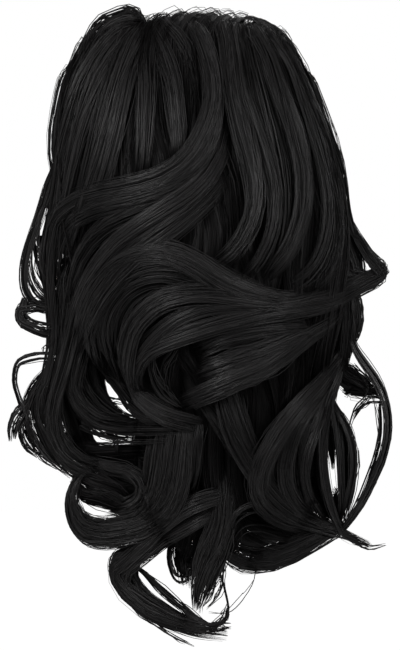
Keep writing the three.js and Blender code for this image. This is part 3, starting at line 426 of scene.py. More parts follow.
TIP = [
    Lock(9, 100, [(16, 73, -6), (11, 74.6, -3), (6, 75.8, 1), (1, 76.6, 4.5), (-4.2, 77.8, 7),
                  (-8.6, 79.8, 8), (-12.4, 82.2, 7.5), (-16.4, 84.4, 6.5), (-20, 86.4, 5.5),
                  (-22.9, 88.1, 4.5), (-21.6, 90.4, 4), (-17.8, 92.8, 4), (-13.4, 94.8, 4),
                  (-7.6, 96.2, 4), (-1, 97.2, 3.5), (6.6, 97.9, 3)], 0.55),
    Lock(9, 90, [(9, 76.6, -3), (4.6, 78, 0), (0.4, 79.2, 4), (-3.4, 80.6, 6.5), (-7.6, 82.2, 7),
                 (-12, 84.2, 6.5), (-16.4, 86.2, 6), (-20, 88, 5), (-20.4, 90.2, 4.5), (-17, 92.3, 4.5),
                 (-12, 94.2, 4.5), (-6.4, 95.8, 4), (0, 96.8, 3.5), (6.4, 97.2, 3)], 0.5),
    Lock(8, 80, [(-2, 79.4, 3), (-8, 82.4, 4), (-13.6, 84.8, 4), (-18.6, 86, 3.5), (-22.4, 86.8, 3),
                 (-23, 88.4, 3), (-21.2, 90.8, 3), (-17.4, 93, 3), (-12.6, 95.1, 3), (-6.6, 96.6, 3),
                 (0.4, 97.5, 3)], 0.45),
    Lock(6, 50, [(-13, 84.2, 2), (-18.4, 84.8, 1.5), (-22.4, 85.6, 1), (-23.6, 87.4, 1),
                 (-22.8, 89.6, 1)], 0.5),
    Lock(9, 80, [(-6, 80, 2), (-12, 83, 2), (-16.8, 85.6, 1), (-19, 88, 0), (-16.6, 91.3, 0),
                 (-11, 94, 0), (-5, 95.8, 0), (2, 97, 0)], 0.6),
    Lock(6, 60, [(-13, 85, 1), (-16.8, 86.8, 0), (-17.6, 88.6, 0), (-15, 91.1, 0), (-10, 93.6, 0),
                 (-5, 95.4, 0), (0.6, 96.5, 0)], 0.6),
    Lock(8, 100, [(4.4, 68, -5), (5, 72.6, -2), (5.4, 77, 2), (4.8, 80.6, 5.5), (3.4, 83.6, 6.5),
                  (1.6, 86.2, 6.5), (0.2, 88.8, 6), (-0.9, 91.2, 5), (-1.2, 94, 4)], 0.75),
    Lock(6, 60, [(4.6, 74.6, -2), (4.2, 78, 2), (3, 81, 5.5), (1, 84, 6.5), (-0.4, 87, 6),
                 (-1.3, 89.4, 5), (-1.7, 91.6, 4), (-1.5, 93.8, 3.5)], 0.6),
    Lock(6, 50, [(7, 77.6, 1), (7, 80.8, 3.5), (6, 84, 4), (4.4, 86.8, 4), (2.6, 89.2, 3.5),
                 (0.8, 91.6, 3), (-0.4, 93.6, 2.5)], 0.4),
    Lock(4, 16, [(5.6, 86, 2), (4.6, 88.4, 2), (4.4, 90.4, 2), (3, 92, 2), (0.6, 93.6, 2)]),
    Lock(8, 150, [(-1.4, 76, -1), (-3.2, 81, -1), (-4, 85.4, -1), (-3.6, 90, -1)], 0.9),
    Lock(8, 150, [(-4, 77, -1), (-5.8, 81.6, -1), (-6.2, 85.4, -1), (-5.2, 89.6, -1)], 0.9),
    Lock(4, 40, [(-6, 82, 2), (-8.4, 85, 2), (-8, 87.6, 2), (-6.4, 89.2, 2), (-4.2, 89.2, 2),
                 (-3.2, 87.6, 2)]),
    Lock(13, 110, [(-1, 74, -1), (-2.6, 79, -1), (-4.4, 83.2, -1), (-4.8, 87.4, -1)], 0.7),
    Lock(8, 110, [(1, 76, -1), (0.2, 81, -1), (-1, 86, -1), (-1.6, 89.6, -1)], 0.8),
    Lock(2.4, 60, [(-18, 87, 4), (-14.6, 88.7, 4.5), (-11, 91, 4), (-7, 93, 4), (-3, 94.8, 3.5),
                   (1, 96, 3), (4, 96.3, 2.5), (6, 95.4, 2), (6.6, 93.6, 2)]),
    Lock(1.6, 12, [(-17.4, 87.4, 4), (-13.6, 89, 4), (-9.6, 90.9, 4), (-5.4, 93, 4), (-1.6, 94.8, 3.5),
                   (2, 96, 3)]),
    Lock(2, 12, [(-21, 91.5, 3), (-17, 94.3, 3), (-13, 96, 3), (-9.5, 97.4, 3), (-6, 98.6, 3),
                 (-2, 99.6, 3)]),
    Lock(4, 24, [(-1, 96.8, 3), (3, 96.6, 3), (7.6, 96.2, 3)]),
    Lock(3, 14, [(3, 96.4, 3), (5.8, 95.2, 3), (6.7, 93, 3)]),
    Lock(1.5, 2, [(14, 87.6, 2), (13.4, 89.6, 2), (11, 92, 2), (7, 94.2, 2), (0.5, 94, 2)]),
    Lock(2, 6, [(4.5, 88, 2), (6, 91, 2), (6.7, 94.4, 2), (5.3, 96.2, 2), (7.3, 97, 2)]),
]

# Painted shade in hollows where the hair lies in its own shadow, and painted highlight on crests that
# catch the light: across, down, their half sizes, and how dark they are (below 0 for a crest). Lengths
# are shares as above.
PAINTED_HOLLOWS_AND_CRESTS = [
    (-14, 3.4, 4.5, 4.5, 0.7),
    (-2.6, 12.5, 1.8, 5.5, 0.7),
    (6.6, 17, 1.7, 5, 0.6),
    (12.4, 9.6, 1.8, 3, 0.8),
    (10.6, 25, 1.4, 4, 0.6),
    (21, 21, 1.4, 4, 0.5),
    (22.4, 31, 1.3, 4, 0.5),
    (-18, 24, 2.5, 2, 0.5),
    (-11, 21.5, 1.8, 3, 0.5),
    (8, 33.5, 6.5, 5, 0.8),
    (15.8, 36, 1.6, 4, 0.6),
    (27.6, 37, 2.6, 5, 0.8),
    (-29, 34, 4, 2.5, 0.6),
    (-30, 39.8, 3, 2.4, 0.5),
    (7, 41.6, 5, 1.6, 0.5),
    (-8, 43.6, 8, 1.4, 0.4),
    (-8, 59, 7, 4, 0.5),
    (-26, 57, 3, 3.5, 0.6),
    (-31, 67.5, 4, 4, 0.6),
    (26, 55, 8, 2.6, 0.7),
    (42, 58.6, 2.5, 1.6, 0.6),
    (34.4, 66, 1.6, 2.5, 0.5),
    (24, 67, 3, 3.5, 0.35),
    (1, 65.4, 4.5, 1.8, 0.6),
    (5, 71, 6, 4, 0.6),
    (16.5, 80.6, 7, 2.6, 0.7),
    (-24, 76, 5, 1.6, 0.5),
    (-5, 85, 3.5, 1.4, 0.5),
    (-20, 86, 3, 0.9, 0.5),
    (-37, 45, 3, 9, 0.35),
    (-4, 40, 9, 2, -0.4),
    (-8, 47, 7, 1.6, -0.3),
    (-12, 35, 8, 1.8, -0.35),
    (-9, 27.5, 8, 1.4, -0.3),
    (13.6, 33.5, 1.6, 4, -0.6),
    (23, 36, 1.8, 3.5, -0.4),
    (-26, 16, 5, 6, -0.25),
    (-12.5, 20, 1.2, 4, -0.3),
    (-6.5, 19, 1.2, 3.5, -0.3),
    (2, 19, 2, 4, -0.3),
    (9.5, 13, 1.6, 6, -0.3),
    (18, 14, 2, 6, -0.3),
    (24.4, 19, 1.6, 4, -0.3),
    (8, 57, 8, 2, -0.35),
    (24, 62, 5, 2.5, -0.35),
    (3.6, 84, 2.2, 3, -0.35),
    (-8, 81, 6, 1.5, -0.3),
    (-31, 59, 1.6, 3, -0.3),
    (-17, 59, 1.6, 3, -0.35),
]


# The bulk's surface


def bulk_at(z):
    """Middle and half sizes of the bulk at heights z, one row each."""
    down = (RISE_ABOVE_SEAT - z) / FALL_LENGTH
    left, right, back, front = (
        np.interp(down, DOWN, [getattr(row, name) / 100 for row in BULK])
        for name in ("left", "right", "back", "front")
    )
    middle_x = (left + right) / 2 * FALL_WIDTH
    middle_y = -(back + front) / 2 * FALL_DEPTH
    return middle_x, middle_y, (right - left) / 2 * FALL_WIDTH, (front - back) / 2 * FALL_DEPTH


def unit(vectors):
    """The vectors, each one long."""
    return vectors / np.maximum(np.linalg.norm(vectors, axis=-1, keepdims=True), 1e-9)


def over_bulk(x, z, lift):
    """Points over the bulk's front, and the way out from it."""
    middle_x, middle_y, half_width, half_depth = bulk_at(z)
    s = np.clip((x - middle_x) / half_width, -1, 1)
    lean = np.clip(s, -0.9, 0.9)
    out = np.stack([lean / half_width, -np.sqrt(1 - lean**2) / half_depth, np.zeros_like(z)], axis=-1)
    return np.stack([x, middle_y - np.sqrt(1 - s**2) * half_depth - lift, z], axis=-1), unit(out)


# Routes


def smooth_route(points, count):
    """A smooth curve through the points, as a number of evenly spaced ones."""
    points = np.asarray(points, float)
    step = np.maximum(np.linalg.norm(np.diff(points, axis=0), axis=1), 1e-9)
    at = np.concatenate([[0], np.cumsum(step)])
    slope = np.diff(points, axis=0) / step[:, None]
    tangent = np.empty_like(points)
    tangent[0], tangent[-1] = slope[0], slope[-1]
    before, after = step[:-1, None], step[1:, None]
    tangent[1:-1] = (slope[:-1] * after + slope[1:] * before) / (before + after)
    place = np.linspace(0, at[-1], count)
    i = np.clip(np.searchsorted(at, place, side="right") - 1, 0, len(step) - 1)
    t = ((place - at[i]) / step[i])[:, None]
    span = step[i][:, None]
    return (
        (2 * t**3 - 3 * t**2 + 1) * points[i]
        + (t**3 - 2 * t**2 + t) * span * tangent[i]
        + (3 * t**2 - 2 * t**3) * points[i + 1]
        + (t**3 - t**2) * span * tangent[i + 1]
    )


class Route:
    """A lock's middle line with the ways across and out at each of its points, and the number of rings
    with which its straight steps cut its bends by about sag, within limits."""

    def __init__(self, centre, out, sag=STRAND_SAG):
        self.centre = centre
        along = unit(np.gradient(centre, axis=0))
        self.side = unit(np.cross(out, along))
        self.out = np.cross(along, self.side)
        steps = np.linalg.norm(np.diff(centre, axis=0), axis=1)
        turned = np.linalg.norm(np.diff(along, axis=0), axis=1)
        need = np.sqrt((turned + steps / WIDEST_BEND) * steps / (8 * sag))
        self.need = np.concatenate([[0], np.cumsum(need)])
        self.rings = int(np.clip(round(self.need[-1]), FEWEST_RINGS, MOST_RINGS))

    def places(self, rings):
        """Shares of the route at which rings go, closer together where it bends more."""
        return np.interp(np.linspace(0, self.need[-1], rings), self.need, np.linspace(0, 1, ROUTE_POINTS))


def front_route(lock):
    """The route of a lock of the tables. A wide one comes from under its neighbours and ends under them."""
    shares = np.array(lock.route, float) / 100
    flat = np.stack(
        [
            shares[:, 0] * FALL_WIDTH,
            RISE_ABOVE_SEAT - shares[:, 1] * FALL_LENGTH,
            shares[:, 2] * FALL_DEPTH,
        ],
        axis=-1,
    )
    x, z, lift = smooth_route(flat, ROUTE_POINTS).T
    t = np.linspace(0, 1, ROUTE_POINTS)
    if lock.width >= WISP:
        lift = lift - TUCK * np.clip(1 - t / DIP, 0, 1) ** 2
    if lock.width >= WISP and lock.tip > FULL_TIP:
        lift = lift - TUCK * np.clip((t - 1 + DIP) / DIP, 0, 1) ** 2
    return Route(*over_bulk(x, z, lift), STRAND_SAG if lock.width >= BROAD else WISP_SAG)


def rooted_route(lock):
    """The route of a crown lock, led back over the top of the cap to the cap's upper edge."""
    front = front_route(lock)
    first = front.centre[0]
    reach = 0.85 * CAP_HALF_WIDTH
    rim_x = np.clip(first[0] * 0.8, -reach, reach)
    rim_z = CAP_HALF_HEIGHT * math.sqrt(1 - (rim_x / CAP_HALF_WIDTH) ** 2)
    ridge_drop = 0.029 * FALL_LENGTH + 0.25 * abs(first[0])
    ridge_z = RISE_ABOVE_SEAT - ridge_drop
    roots = np.array(
        [
            [rim_x, -4 * MM, rim_z + 1.5 * MM],
            [0.5 * (rim_x + first[0]), -16 * MM, 0.5 * (rim_z + ridge_z) + 3 * MM],
            [first[0], -28 * MM, ridge_z],
        ]
    )
    outs = np.array([[0, 0.4, 1], [0, 0.2, 1], [0, -0.2, 1]])
    pick = slice(4, None, 6)
    centre = smooth_route(np.concatenate([roots, front.centre[pick]]), ROUTE_POINTS)
    out = smooth_route(np.concatenate([outs, front.out[pick]]), ROUTE_POINTS)
    return Route(centre, unit(out))


def around_route(turns, downs, lifts, first_points=()):
    """A route round the bulk. Turns are degrees from its right over the back, lifts millimetres off it."""
    control = np.stack([np.radians(turns), np.array(downs) / 100, np.array(lifts) * MM], axis=-1)
    turn, down, lift = smooth_route(control * [FALL_WIDTH, FALL_LENGTH, 1], ROUTE_POINTS).T
    turn, z = turn / FALL_WIDTH, RISE_ABOVE_SEAT - down
    middle_x, middle_y, half_width, half_depth = bulk_at(z)
    # The hair is drawn in below the bulk's foot
    foot, foot_depth = 0.79, 0.08
    drawn_in = np.sqrt(1 - np.clip((down / FALL_LENGTH - foot) / foot_depth, 0, 0.96) ** 2)
    half_width, half_depth = half_width * drawn_in, half_depth * drawn_in
    c, s = np.cos(turn), np.sin(turn)
    # The bulk is squarer at its back than at its front
    depth = np.where(s > 0, np.sqrt(1 - c**4), s)
    out = unit(np.stack([c / half_width, s / half_depth, np.zeros_like(z)], axis=-1))
    centre = np.stack([middle_x + half_width * c, middle_y + half_depth * depth, z], axis=-1)
    centre = centre + out * lift[:, None]
    if len(first_points):
        centre = smooth_route(np.concatenate([first_points, centre[6::6]]), ROUTE_POINTS)
    return Route(centre, out)


# Strands


def drift(rng, rows, t, size, turns):
    """A slow wander along t, one row for each strand."""
    total = 0
    for part in range(1, 4):
        phase = rng.uniform(0, 2 * math.pi, (rows, 1))
        rate = rng.uniform(0.3, turns, (rows, 1)) * part
        swing = size / part * rng.uniform(0.3, 1, (rows, 1))
        total = total + swing * np.sin(2 * math.pi * rate * t + phase)
    return total


def gathered(t, root, tip):
    """How wide a lock stands along its length."""
    return np.minimum(np.minimum(1, root + (1 - root) * t / 0.25), tip + (1 - tip) * (1 - t) / 0.35)


def strands_of(route, width, count, rng, root, tip, loose=0.08):
    """The strands over one lock: their points, and their radii across and out, a row for each strand."""
    half_width = width * MM / 2
    clumps = max(2, round(width / CLUMP))
    clump = rng.integers(0, clumps, count)

    # Where each strand starts and ends along the lock: most reach its tip, some stop short of it
    even = route.places(route.rings)[None]
    start = rng.uniform(0, 0.05, (count, 1))
    end = 1 - rng.uniform(0, 0.42, (count, 1)) ** 2.2
    t = start + (end - start) * even

    # How far across the lock a strand lies, as a share of its half width: with its clump, or astray
    astray = rng.random((count, 1)) < loose
    clump_a = (np.linspace(-0.88, 0.88, clumps) + rng.uniform(-0.12, 0.12, clumps))[clump][:, None]
    clump_a = clump_a * (0.5 if width < 3 else 1)
    clump_a = clump_a + drift(rng, clumps, even, 0.12, 1.0)[clump]
    wander = np.where(astray, ASTRAY / half_width, 0.09)
    a = clump_a + rng.normal(0, 0.17, (count, 1)) * (1.25 - 0.75 * t)
    a = a + wander * drift(rng, count, t, 1, 1.4)

    # How far out of the lock it lies: over its rounded front, and now and then behind it
    behind = np.where(rng.random((count, 1)) < (0.5 if width < WISP else 0.1), -1.0, 1.0)
    height = rng.uniform(0.5, 0.95, clumps)[clump][:, None] + drift(rng, clumps, even, 0.12, 1.0)[clump]
    height = height + rng.normal(0, 0.08, (count, 1)) + wander * 0.8 * drift(rng, count, t, 1, 1.4)
    b = behind * np.sqrt(np.clip(1 - a**2, 0.04, 1)) * height

    # The strand itself, held together at the lock's ends
    held = gathered(t, root, tip)
    place = np.linspace(0, 1, ROUTE_POINTS)

    def along_route(values):
        return np.stack([np.interp(t, place, values[:, axis]) for axis in range(3)], axis=-1)

    side, out = along_route(route.side), along_route(route.out)
    centre = along_route(route.centre)
    centre = centre + side * (a * held * half_width)[..., None]
    centre = centre + out * (b * held * half_width * FLAT)[..., None]
    along = unit(np.gradient(centre, axis=1))
    side = unit(np.cross(out, along))
    out = np.cross(along, side)
    thickness = STRAND_RADIUS * (1.6 if width < WISP else 1) * rng.uniform(0.7, 1.3, (count, 1))
    radii = (thickness * np.clip((1 - even) / 0.12, 0.25, 1))[..., None]
    return centre, side * radii, out * radii


def body_of(route, width, root, tip):
    """The dense inside of a lock, as one flattened tube with drawn-out ends."""
    t = route.places(route.rings)
    pick = (t * (ROUTE_POINTS - 1)).round().astype(int)
    drawn = np.clip(np.minimum(t / 0.12, (1 - t) / 0.3), 0.03, 1) ** 0.7
    held = (gathered(t, root, tip) * drawn)[:, None] * width * MM / 2
    across, out = route.side[pick] * held * 0.78, route.out[pick] * held * FLAT * 0.5
    return route.centre[pick][None], across[None], out[None]


# Depth inside the fall, for painted shade


class OuterFace:
    """How far forward the traced locks reach, as a soft height map of the fall's outer face."""

    def __init__(self, laid):
        self.heights = np.full((round(FACE_WIDTH / CELL), round(FACE_HEIGHT / CELL)), -1.0)
        for lock, route in laid:
            half_width = lock.width * MM / 2 * gathered(np.linspace(0, 1, ROUTE_POINTS), 0.5, lock.tip)
            for a in np.linspace(-0.8, 0.8, LANES):
                points = route.centre + route.side * (a * half_width)[:, None]
                rise = 0.4 * half_width * math.sqrt(1 - a**2)
                np.maximum.at(self.heights, self.cells(points), rise + self.over(points))
        # Near the locks the map follows them, and between them it lies a little under those all round
        known = (self.heights > -1).astype(float)
        total, share = self.spread(np.where(known > 0, self.heights, 0)), self.spread(known)
        near = self.mean(total, share)
        for _ in range(4):
            total, share = self.spread(total), self.spread(share)
        self.soft = np.maximum(near, self.mean(total, share) - 1 * MM)

    def mean(self, total, share, least=0.05):
        """The mean height near each cell, or 0 where no lock is near."""
        return np.where(share > least, total / np.maximum(share, least), 0)

    def cells(self, points):
        """The cells of the map that points lie in."""
        across = np.clip((points[:, 0] - FACE_LEFT) / CELL, 0, self.heights.shape[0] - 1)
        up = np.clip((points[:, 2] - FACE_FOOT) / CELL, 0, self.heights.shape[1] - 1)
        return across.astype(int), up.astype(int)

    def over(self, points):
        """How far points lie forward of the bulk."""
        face, _ = over_bulk(points[:, 0], points[:, 2], 0)
        return face[:, 1] - points[:, 1]

    def spread(self, grid):
        """The grid with each cell's value shared out among its neighbours."""
        for axis in (0, 1):
            grid = sum(np.roll(grid, shift, axis) * weight for shift, weight in SOFTEN)
        return grid

    def light_at(self, points):
        """Painted shade and highlight: 1 for hair at the outer face, less deeper down and in a hollow, more
        on a crest.
        """
        depth = self.soft[self.cells(points)] - self.over(points)
        light = np.clip(1 - depth / DEEP_AT, 0.05, 1.3)
        across = points[:, 0] / FALL_WIDTH * 100
        down = (RISE_ABOVE_SEAT - points[:, 2]) / FALL_LENGTH * 100
        # Painted shade in each hollow, painted highlight on each crest
        for middle, level, half_width, half_height, dark in PAINTED_HOLLOWS_AND_CRESTS:
            away = ((across - middle) / half_width) ** 2 + ((down - level) / half_height) ** 2
            light = light * (1 - dark * np.exp(-away))
        return light


# Meshes


def object_of(name, data):
    """A new object in the scene, of a mesh, a light or a camera."""
    made = bpy.data.objects.new(name, data)
    bpy.context.scene.collection.objects.link(made)
    return made


def tube_arrays(centre, across, outward, sides):
    """Corner points and faces of closed tubes that share a number of rings."""
    rows, rings = centre.shape[:2]
    turn = 2 * math.pi * np.arange(sides) / sides
    corners = (
        centre[:, :, None]
        + across[:, :, None] * np.cos(turn)[:, None]
        + outward[:, :, None] * np.sin(turn)[:, None]
    ).reshape(-1, 3)
    first = (np.arange(rows) * rings * sides)[:, None, None]
    ring = (np.arange(rings - 1) * sides)[None, :, None]
    k = np.arange(sides)[None, None, :]
    here, beside = first + ring + k, first + ring + (k + 1) % sides
    quads = np.stack([here, beside, beside + sides, here + sides], axis=-1).reshape(-1, 4)
    caps = np.arange(rows)[:, None] * rings * sides + np.arange(sides)
    return corners, quads, np.concatenate([caps[:, ::-1], caps + (rings - 1) * sides])


def tube_charts(rows, rings, sides, first_chart, columns, lanes):
    """Where each corner of each face lies on a flat sheet that gives every tube a strip of its own."""
    # Each strip leaves a margin in its column and its lane
    chart = first_chart + np.arange(rows)
    left = (chart % columns + 0.1) / columns
    foot = (chart // columns + 0.02) / lanes
    wide, tall = 0.8 / columns, 0.96 / lanes
    k = np.arange(sides)
    u0 = left[:, None, None] + wide * (k / sides)
    u1 = left[:, None, None] + wide * ((k + 1) / sides)
    v = foot[:, None, None] + tall * (np.arange(rings) / (rings - 1))[None, :, None]
    v0, v1 = v[:, :-1], v[:, 1:]
    u0, u1 = np.broadcast_arrays(u0, u1)
    shape = (rows, rings - 1, sides)
    corner = [(u0, v0), (u1, v0), (u1, v1), (u0, v1)]
    quads = np.stack(
        [np.stack([np.broadcast_to(u, shape), np.broadcast_to(w, shape)], axis=-1) for u, w in corner],
        axis=3,
    ).reshape(-1, 2)
    turn = 2 * math.pi * k / sides
    cap_u = left[:, None] + wide * (0.5 + 0.4 * np.cos(turn))
    low = np.stack([cap_u, foot[:, None] + tall * 0.004 * (1 + np.sin(turn))], axis=-1)
    high = np.stack([cap_u, foot[:, None] + tall * (1 - 0.004 * (1 + np.sin(turn)))], axis=-1)
    return quads, np.concatenate([low[:, ::-1].reshape(-1, 2), high.reshape(-1, 2)])


def piece_of(name, tubes, sides, rng, outer_face=None, shades=(0.25, 1)):
    """One mesh object of many closed tubes, with a strip on the sheet and a shade for each: its own tone
    times painted shade.
    """
    total = sum(len(centre) for centre, _, _ in tubes)
    lanes = 4
    columns = math.ceil(total / lanes)
    even_light = 0.6  # for a piece that no outer face shades
    corners, loops, starts, charts, shade_rows = [], [], [], [], []
    base = loop_base = done = 0
    for centre, across, outward in tubes:
        rows, rings = centre.shape[:2]
        points, quads, caps = tube_arrays(centre, across, outward, sides)
        quad_uv, cap_uv = tube_charts(rows, rings, sides, done, columns, lanes)
        corners.append(points)
        loops += [(quads + base).ravel(), (caps + base).ravel()]
        starts.append(loop_base + np.arange(len(quads)) * 4)
        loop_base += quads.size
        starts.append(loop_base + np.arange(len(caps)) * sides)
        loop_base += caps.size
        charts += [quad_uv, cap_uv]
        # Each tube's own random tone, times painted shade and highlight from the outer face or one even
        # level
        shade = np.repeat(rng.uniform(*shades, rows), rings * sides)
        shade_rows.append(shade * (outer_face.light_at(points) if outer_face else even_light))
        base += len(points)
        done += rows
    mesh = bpy.data.meshes.new(name)
    corners, loops, starts = np.concatenate(corners), np.concatenate(loops), np.concatenate(starts)
    mesh.vertices.add(len(corners))
    mesh.vertices.foreach_set("co", corners.ravel())
    mesh.loops.add(len(loops))
    mesh.loops.foreach_set("vertex_index", loops)
    mesh.polygons.add(len(starts))
    mesh.polygons.foreach_set("loop_start", starts)
    mesh.polygons.foreach_set("use_smooth", np.ones(len(starts), bool))
    sheet = mesh.uv_layers.new(name="OFBake")
    sheet.data.foreach_set("uv", np.concatenate(charts).ravel())
    shade = mesh.attributes.new("shade", "FLOAT", "POINT")
    shade.data.foreach_set("value", np.concatenate(shade_rows))
    mesh.update(calc_edges=True)
    mesh.validate()
    return object_of(name, mesh)


# Materials


def material(name, roughness, specular=0.5):
    """A new material with its node tree and its shader."""
    made = bpy.data.materials.new(name)
    made.use_nodes = True
    shader = made.node_tree.nodes["Principled BSDF"]
    shader.inputs["Roughness"].default_value = roughness
    shader.inputs["Specular IOR Level"].default_value = specular
    return made, made.node_tree, shader


def fed_node(tree, kind, links, **settings):
    """A new node with its inputs linked or set, both by the inputs' names."""
    node = tree.nodes.new(kind)
    for socket, value in settings.items():
        node.inputs[socket.replace("_", " ")].default_value = value
    for socket, source in links.items():
        tree.links.new(source, node.inputs[socket])
    return node


def ramp(tree, factor, stops):
    """A run of colours over factor, given as a first and a last stop and any between them."""
    node = fed_node(tree, "ShaderNodeValToRGB", {"Fac": factor})
    first, last = stops[0], stops[-1]
    node.color_ramp.elements[0].position, node.color_ramp.elements[0].color = first[0], (*first[1], 1)
    node.color_ramp.elements[1].position, node.color_ramp.elements[1].color = last[0], (*last[1], 1)
    for place, colour in stops[1:-1]:
        node.color_ramp.elements.new(place).color = (*colour, 1)
    return node.outputs["Color"]


def to_range(tree, factor, low, high):
    """The factor, from low at 0 to high at 1."""
    node = fed_node(tree, "ShaderNodeMapRange", {"Value": factor}, To_Min=low, To_Max=high)
    return node.outputs["Result"]


def shade_of(tree):
    """The shade that each strand or lock was given: its own tone times painted shade and highlight."""
    shade = tree.nodes.new("ShaderNodeAttribute")
    shade.attribute_name = "shade"
    return shade.outputs["Fac"]


def place_of(tree):
    """Where a point of the piece lies, in metres."""
    return tree.nodes.new("ShaderNodeTexCoord").outputs["Object"]


def streaks_of(tree, place, stretch, scale):
    """Fine noise, stretched by a scale of its own on each axis."""
    mapped = fed_node(tree, "ShaderNodeMapping", {"Vector": place}, Scale=stretch).outputs["Vector"]
    return fed_node(tree, "ShaderNodeTexNoise", {"Vector": mapped}, Scale=scale, Detail=2).outputs["Fac"]


def relief(tree, shader, height, strength, distance, sunk=False):
    """Fine relief on the surface, sunk where the height is to go inwards."""
    bump = fed_node(tree, "ShaderNodeBump", {"Height": height}, Strength=strength, Distance=distance)
    bump.invert = sunk
    tree.links.new(bump.outputs["Normal"], shader.inputs["Normal"])


def strand_material(name, specular):
    """Black fibre: each strand has its own depth of black and its own gloss, under painted shade where it
    lies deep or in a hollow and a painted highlight on a crest.
    """
    made, tree, shader = material(name, 0.4, specular)
    shade = shade_of(tree)
    blacks = [
        (0.0, (0.0008, 0.0005, 0.0006)),
        (0.5, (0.0062, 0.0055, 0.0058)),
        (1.0, (0.034, 0.0325, 0.033)),
    ]
    tree.links.new(ramp(tree, shade, blacks), shader.inputs["Base Color"])
    tree.links.new(to_range(tree, shade, 0.65, 0.34), shader.inputs["Roughness"])
    return made


def lock_material():
    """The dense inside of a lock: black and darker than the strands, as painted shade, with fine streaks
    along its length.
    """
    made, tree, shader = material("hair_inside", 0.5, 0.18)
    sheet = tree.nodes.new("ShaderNodeUVMap")
    sheet.uv_map = "OFBake"
    streaks = streaks_of(tree, sheet.outputs["UV"], (420, 12, 1), 1)
    # The streaks darkened by each lock's tone and painted shade
    shaded = tree.nodes.new("ShaderNodeMath")
    shaded.operation = "MULTIPLY"
    tree.links.new(streaks, shaded.inputs[0])
    tree.links.new(shade_of(tree), shaded.inputs[1])
    blacks = [(0.05, (0.0008, 0.0005, 0.0006)), (0.5, (0.016, 0.015, 0.0155))]
    tree.links.new(ramp(tree, shaded.outputs["Value"], blacks), shader.inputs["Base Color"])
    relief(tree, shader, streaks, 0.5, 0.4 * MM)
    return made


def bulk_material():
    """Shadowed hair deep inside the fall."""
    made, tree, shader = material("hair_deep", 0.7, 0.2)
    streaks = streaks_of(tree, place_of(tree), (1, 1, 0.06), 900)
    blacks = [(0.3, (0.001, 0.001, 0.001)), (0.7, (0.004, 0.0035, 0.0035))]
    tree.links.new(ramp(tree, streaks, blacks), shader.inputs["Base Color"])
    relief(tree, shader, streaks, 0.7, 0.5 * MM)
    return made


def net_material():
    """Black elastic net of the cap."""
    made, tree, shader = material("cap_net", 0.85, 0.3)
    mesh = fed_node(tree, "ShaderNodeTexVoronoi", {"Vector": place_of(tree)}, Scale=700)
    mesh.feature = "DISTANCE_TO_EDGE"
    blacks = [(0.0, (0.03, 0.028, 0.029)), (0.25, (0.008, 0.0075, 0.0075))]
    tree.links.new(ramp(tree, mesh.outputs["Distance"], blacks), shader.inputs["Base Color"])
    relief(tree, shader, mesh.outputs["Distance"], 0.6, 0.3 * MM, sunk=True)
    return made


def comb_material():
    """Moulded black plastic with a faint flow mark."""
    made, tree, shader = material("comb_plastic", 0.35)
    flow = fed_node(tree, "ShaderNodeTexNoise", {"Vector": place_of(tree)}, Scale=120).outputs["Fac"]
    blacks = [(0.3, (0.010, 0.009, 0.009)), (0.7, (0.016, 0.014, 0.014))]
    tree.links.new(ramp(tree, flow, blacks), shader.inputs["Base Color"])
    tree.links.new(to_range(tree, flow, 0.28, 0.42), shader.inputs["Roughness"])
    return made


FIBRE = strand_material("hair_fibre", 0.36)
# A duller copy of the fibre, as painted shade for hair that lies under the other locks
SHADED_FIBRE = strand_material("hair_fibre_painted_shade", 0.1)
INSIDE = lock_material()
DEEP = bulk_material()
NET = net_material()
PLASTIC = comb_material()


def finish_piece(piece, finish, node):
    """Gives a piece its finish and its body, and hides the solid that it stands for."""
    piece.data.materials.append(finish)
    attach(piece, "root")
    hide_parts(node)


# Hair


def lay_strands(name, node, strands, finish, rng, outer_face=None):
    """One piece of thin strands."""
    finish_piece(piece_of(name, strands, STRAND_SIDES, rng, outer_face), finish, node)


def lay_insides(name, node, insides, rng, outer_face=None):
    """One piece of the dense insides of locks, which have more sides than a strand and are darker, as
    painted shade.
    """
    piece = piece_of(name, insides, INSIDE_SIDES, rng, outer_face, shades=(0.3, 0.6))
    finish_piece(piece, INSIDE, node)


def hair_group(name, node, laid, outer_face, seed, loose):
    """The strands of a group of locks, and the dense insides of the wider ones."""
    rng = np.random.default_rng(seed)
    strands, deep_strands, insides = [], [], []
    for lock, route in laid:
        wisp = lock.width < WISP
        deep = max(lift for _, _, lift in lock.route) < 0
        ends = dict(root=0.6, tip=0.5) if wisp else dict(root=0.5, tip=lock.tip)
        count = round(lock.strands * (DEEP_FILL if deep else FILL))
        group = deep_strands if deep else strands
        group.append(strands_of(route, lock.width, count, rng, loose=loose, **ends))
        if not wisp:
            insides.append(body_of(route, lock.width, **ends))
    # Strands of locks laid wholly below the bulk's face take the duller copy of the fibre, as painted shade
    for part, tubes, finish in (("strands", strands, FIBRE), ("deep_strands", deep_strands, SHADED_FIBRE)):
        if tubes:
            lay_strands(f"{name}_{part}", node, tubes, finish, rng, outer_face)
    lay_insides(f"{name}_locks", node, insides, rng, outer_face)


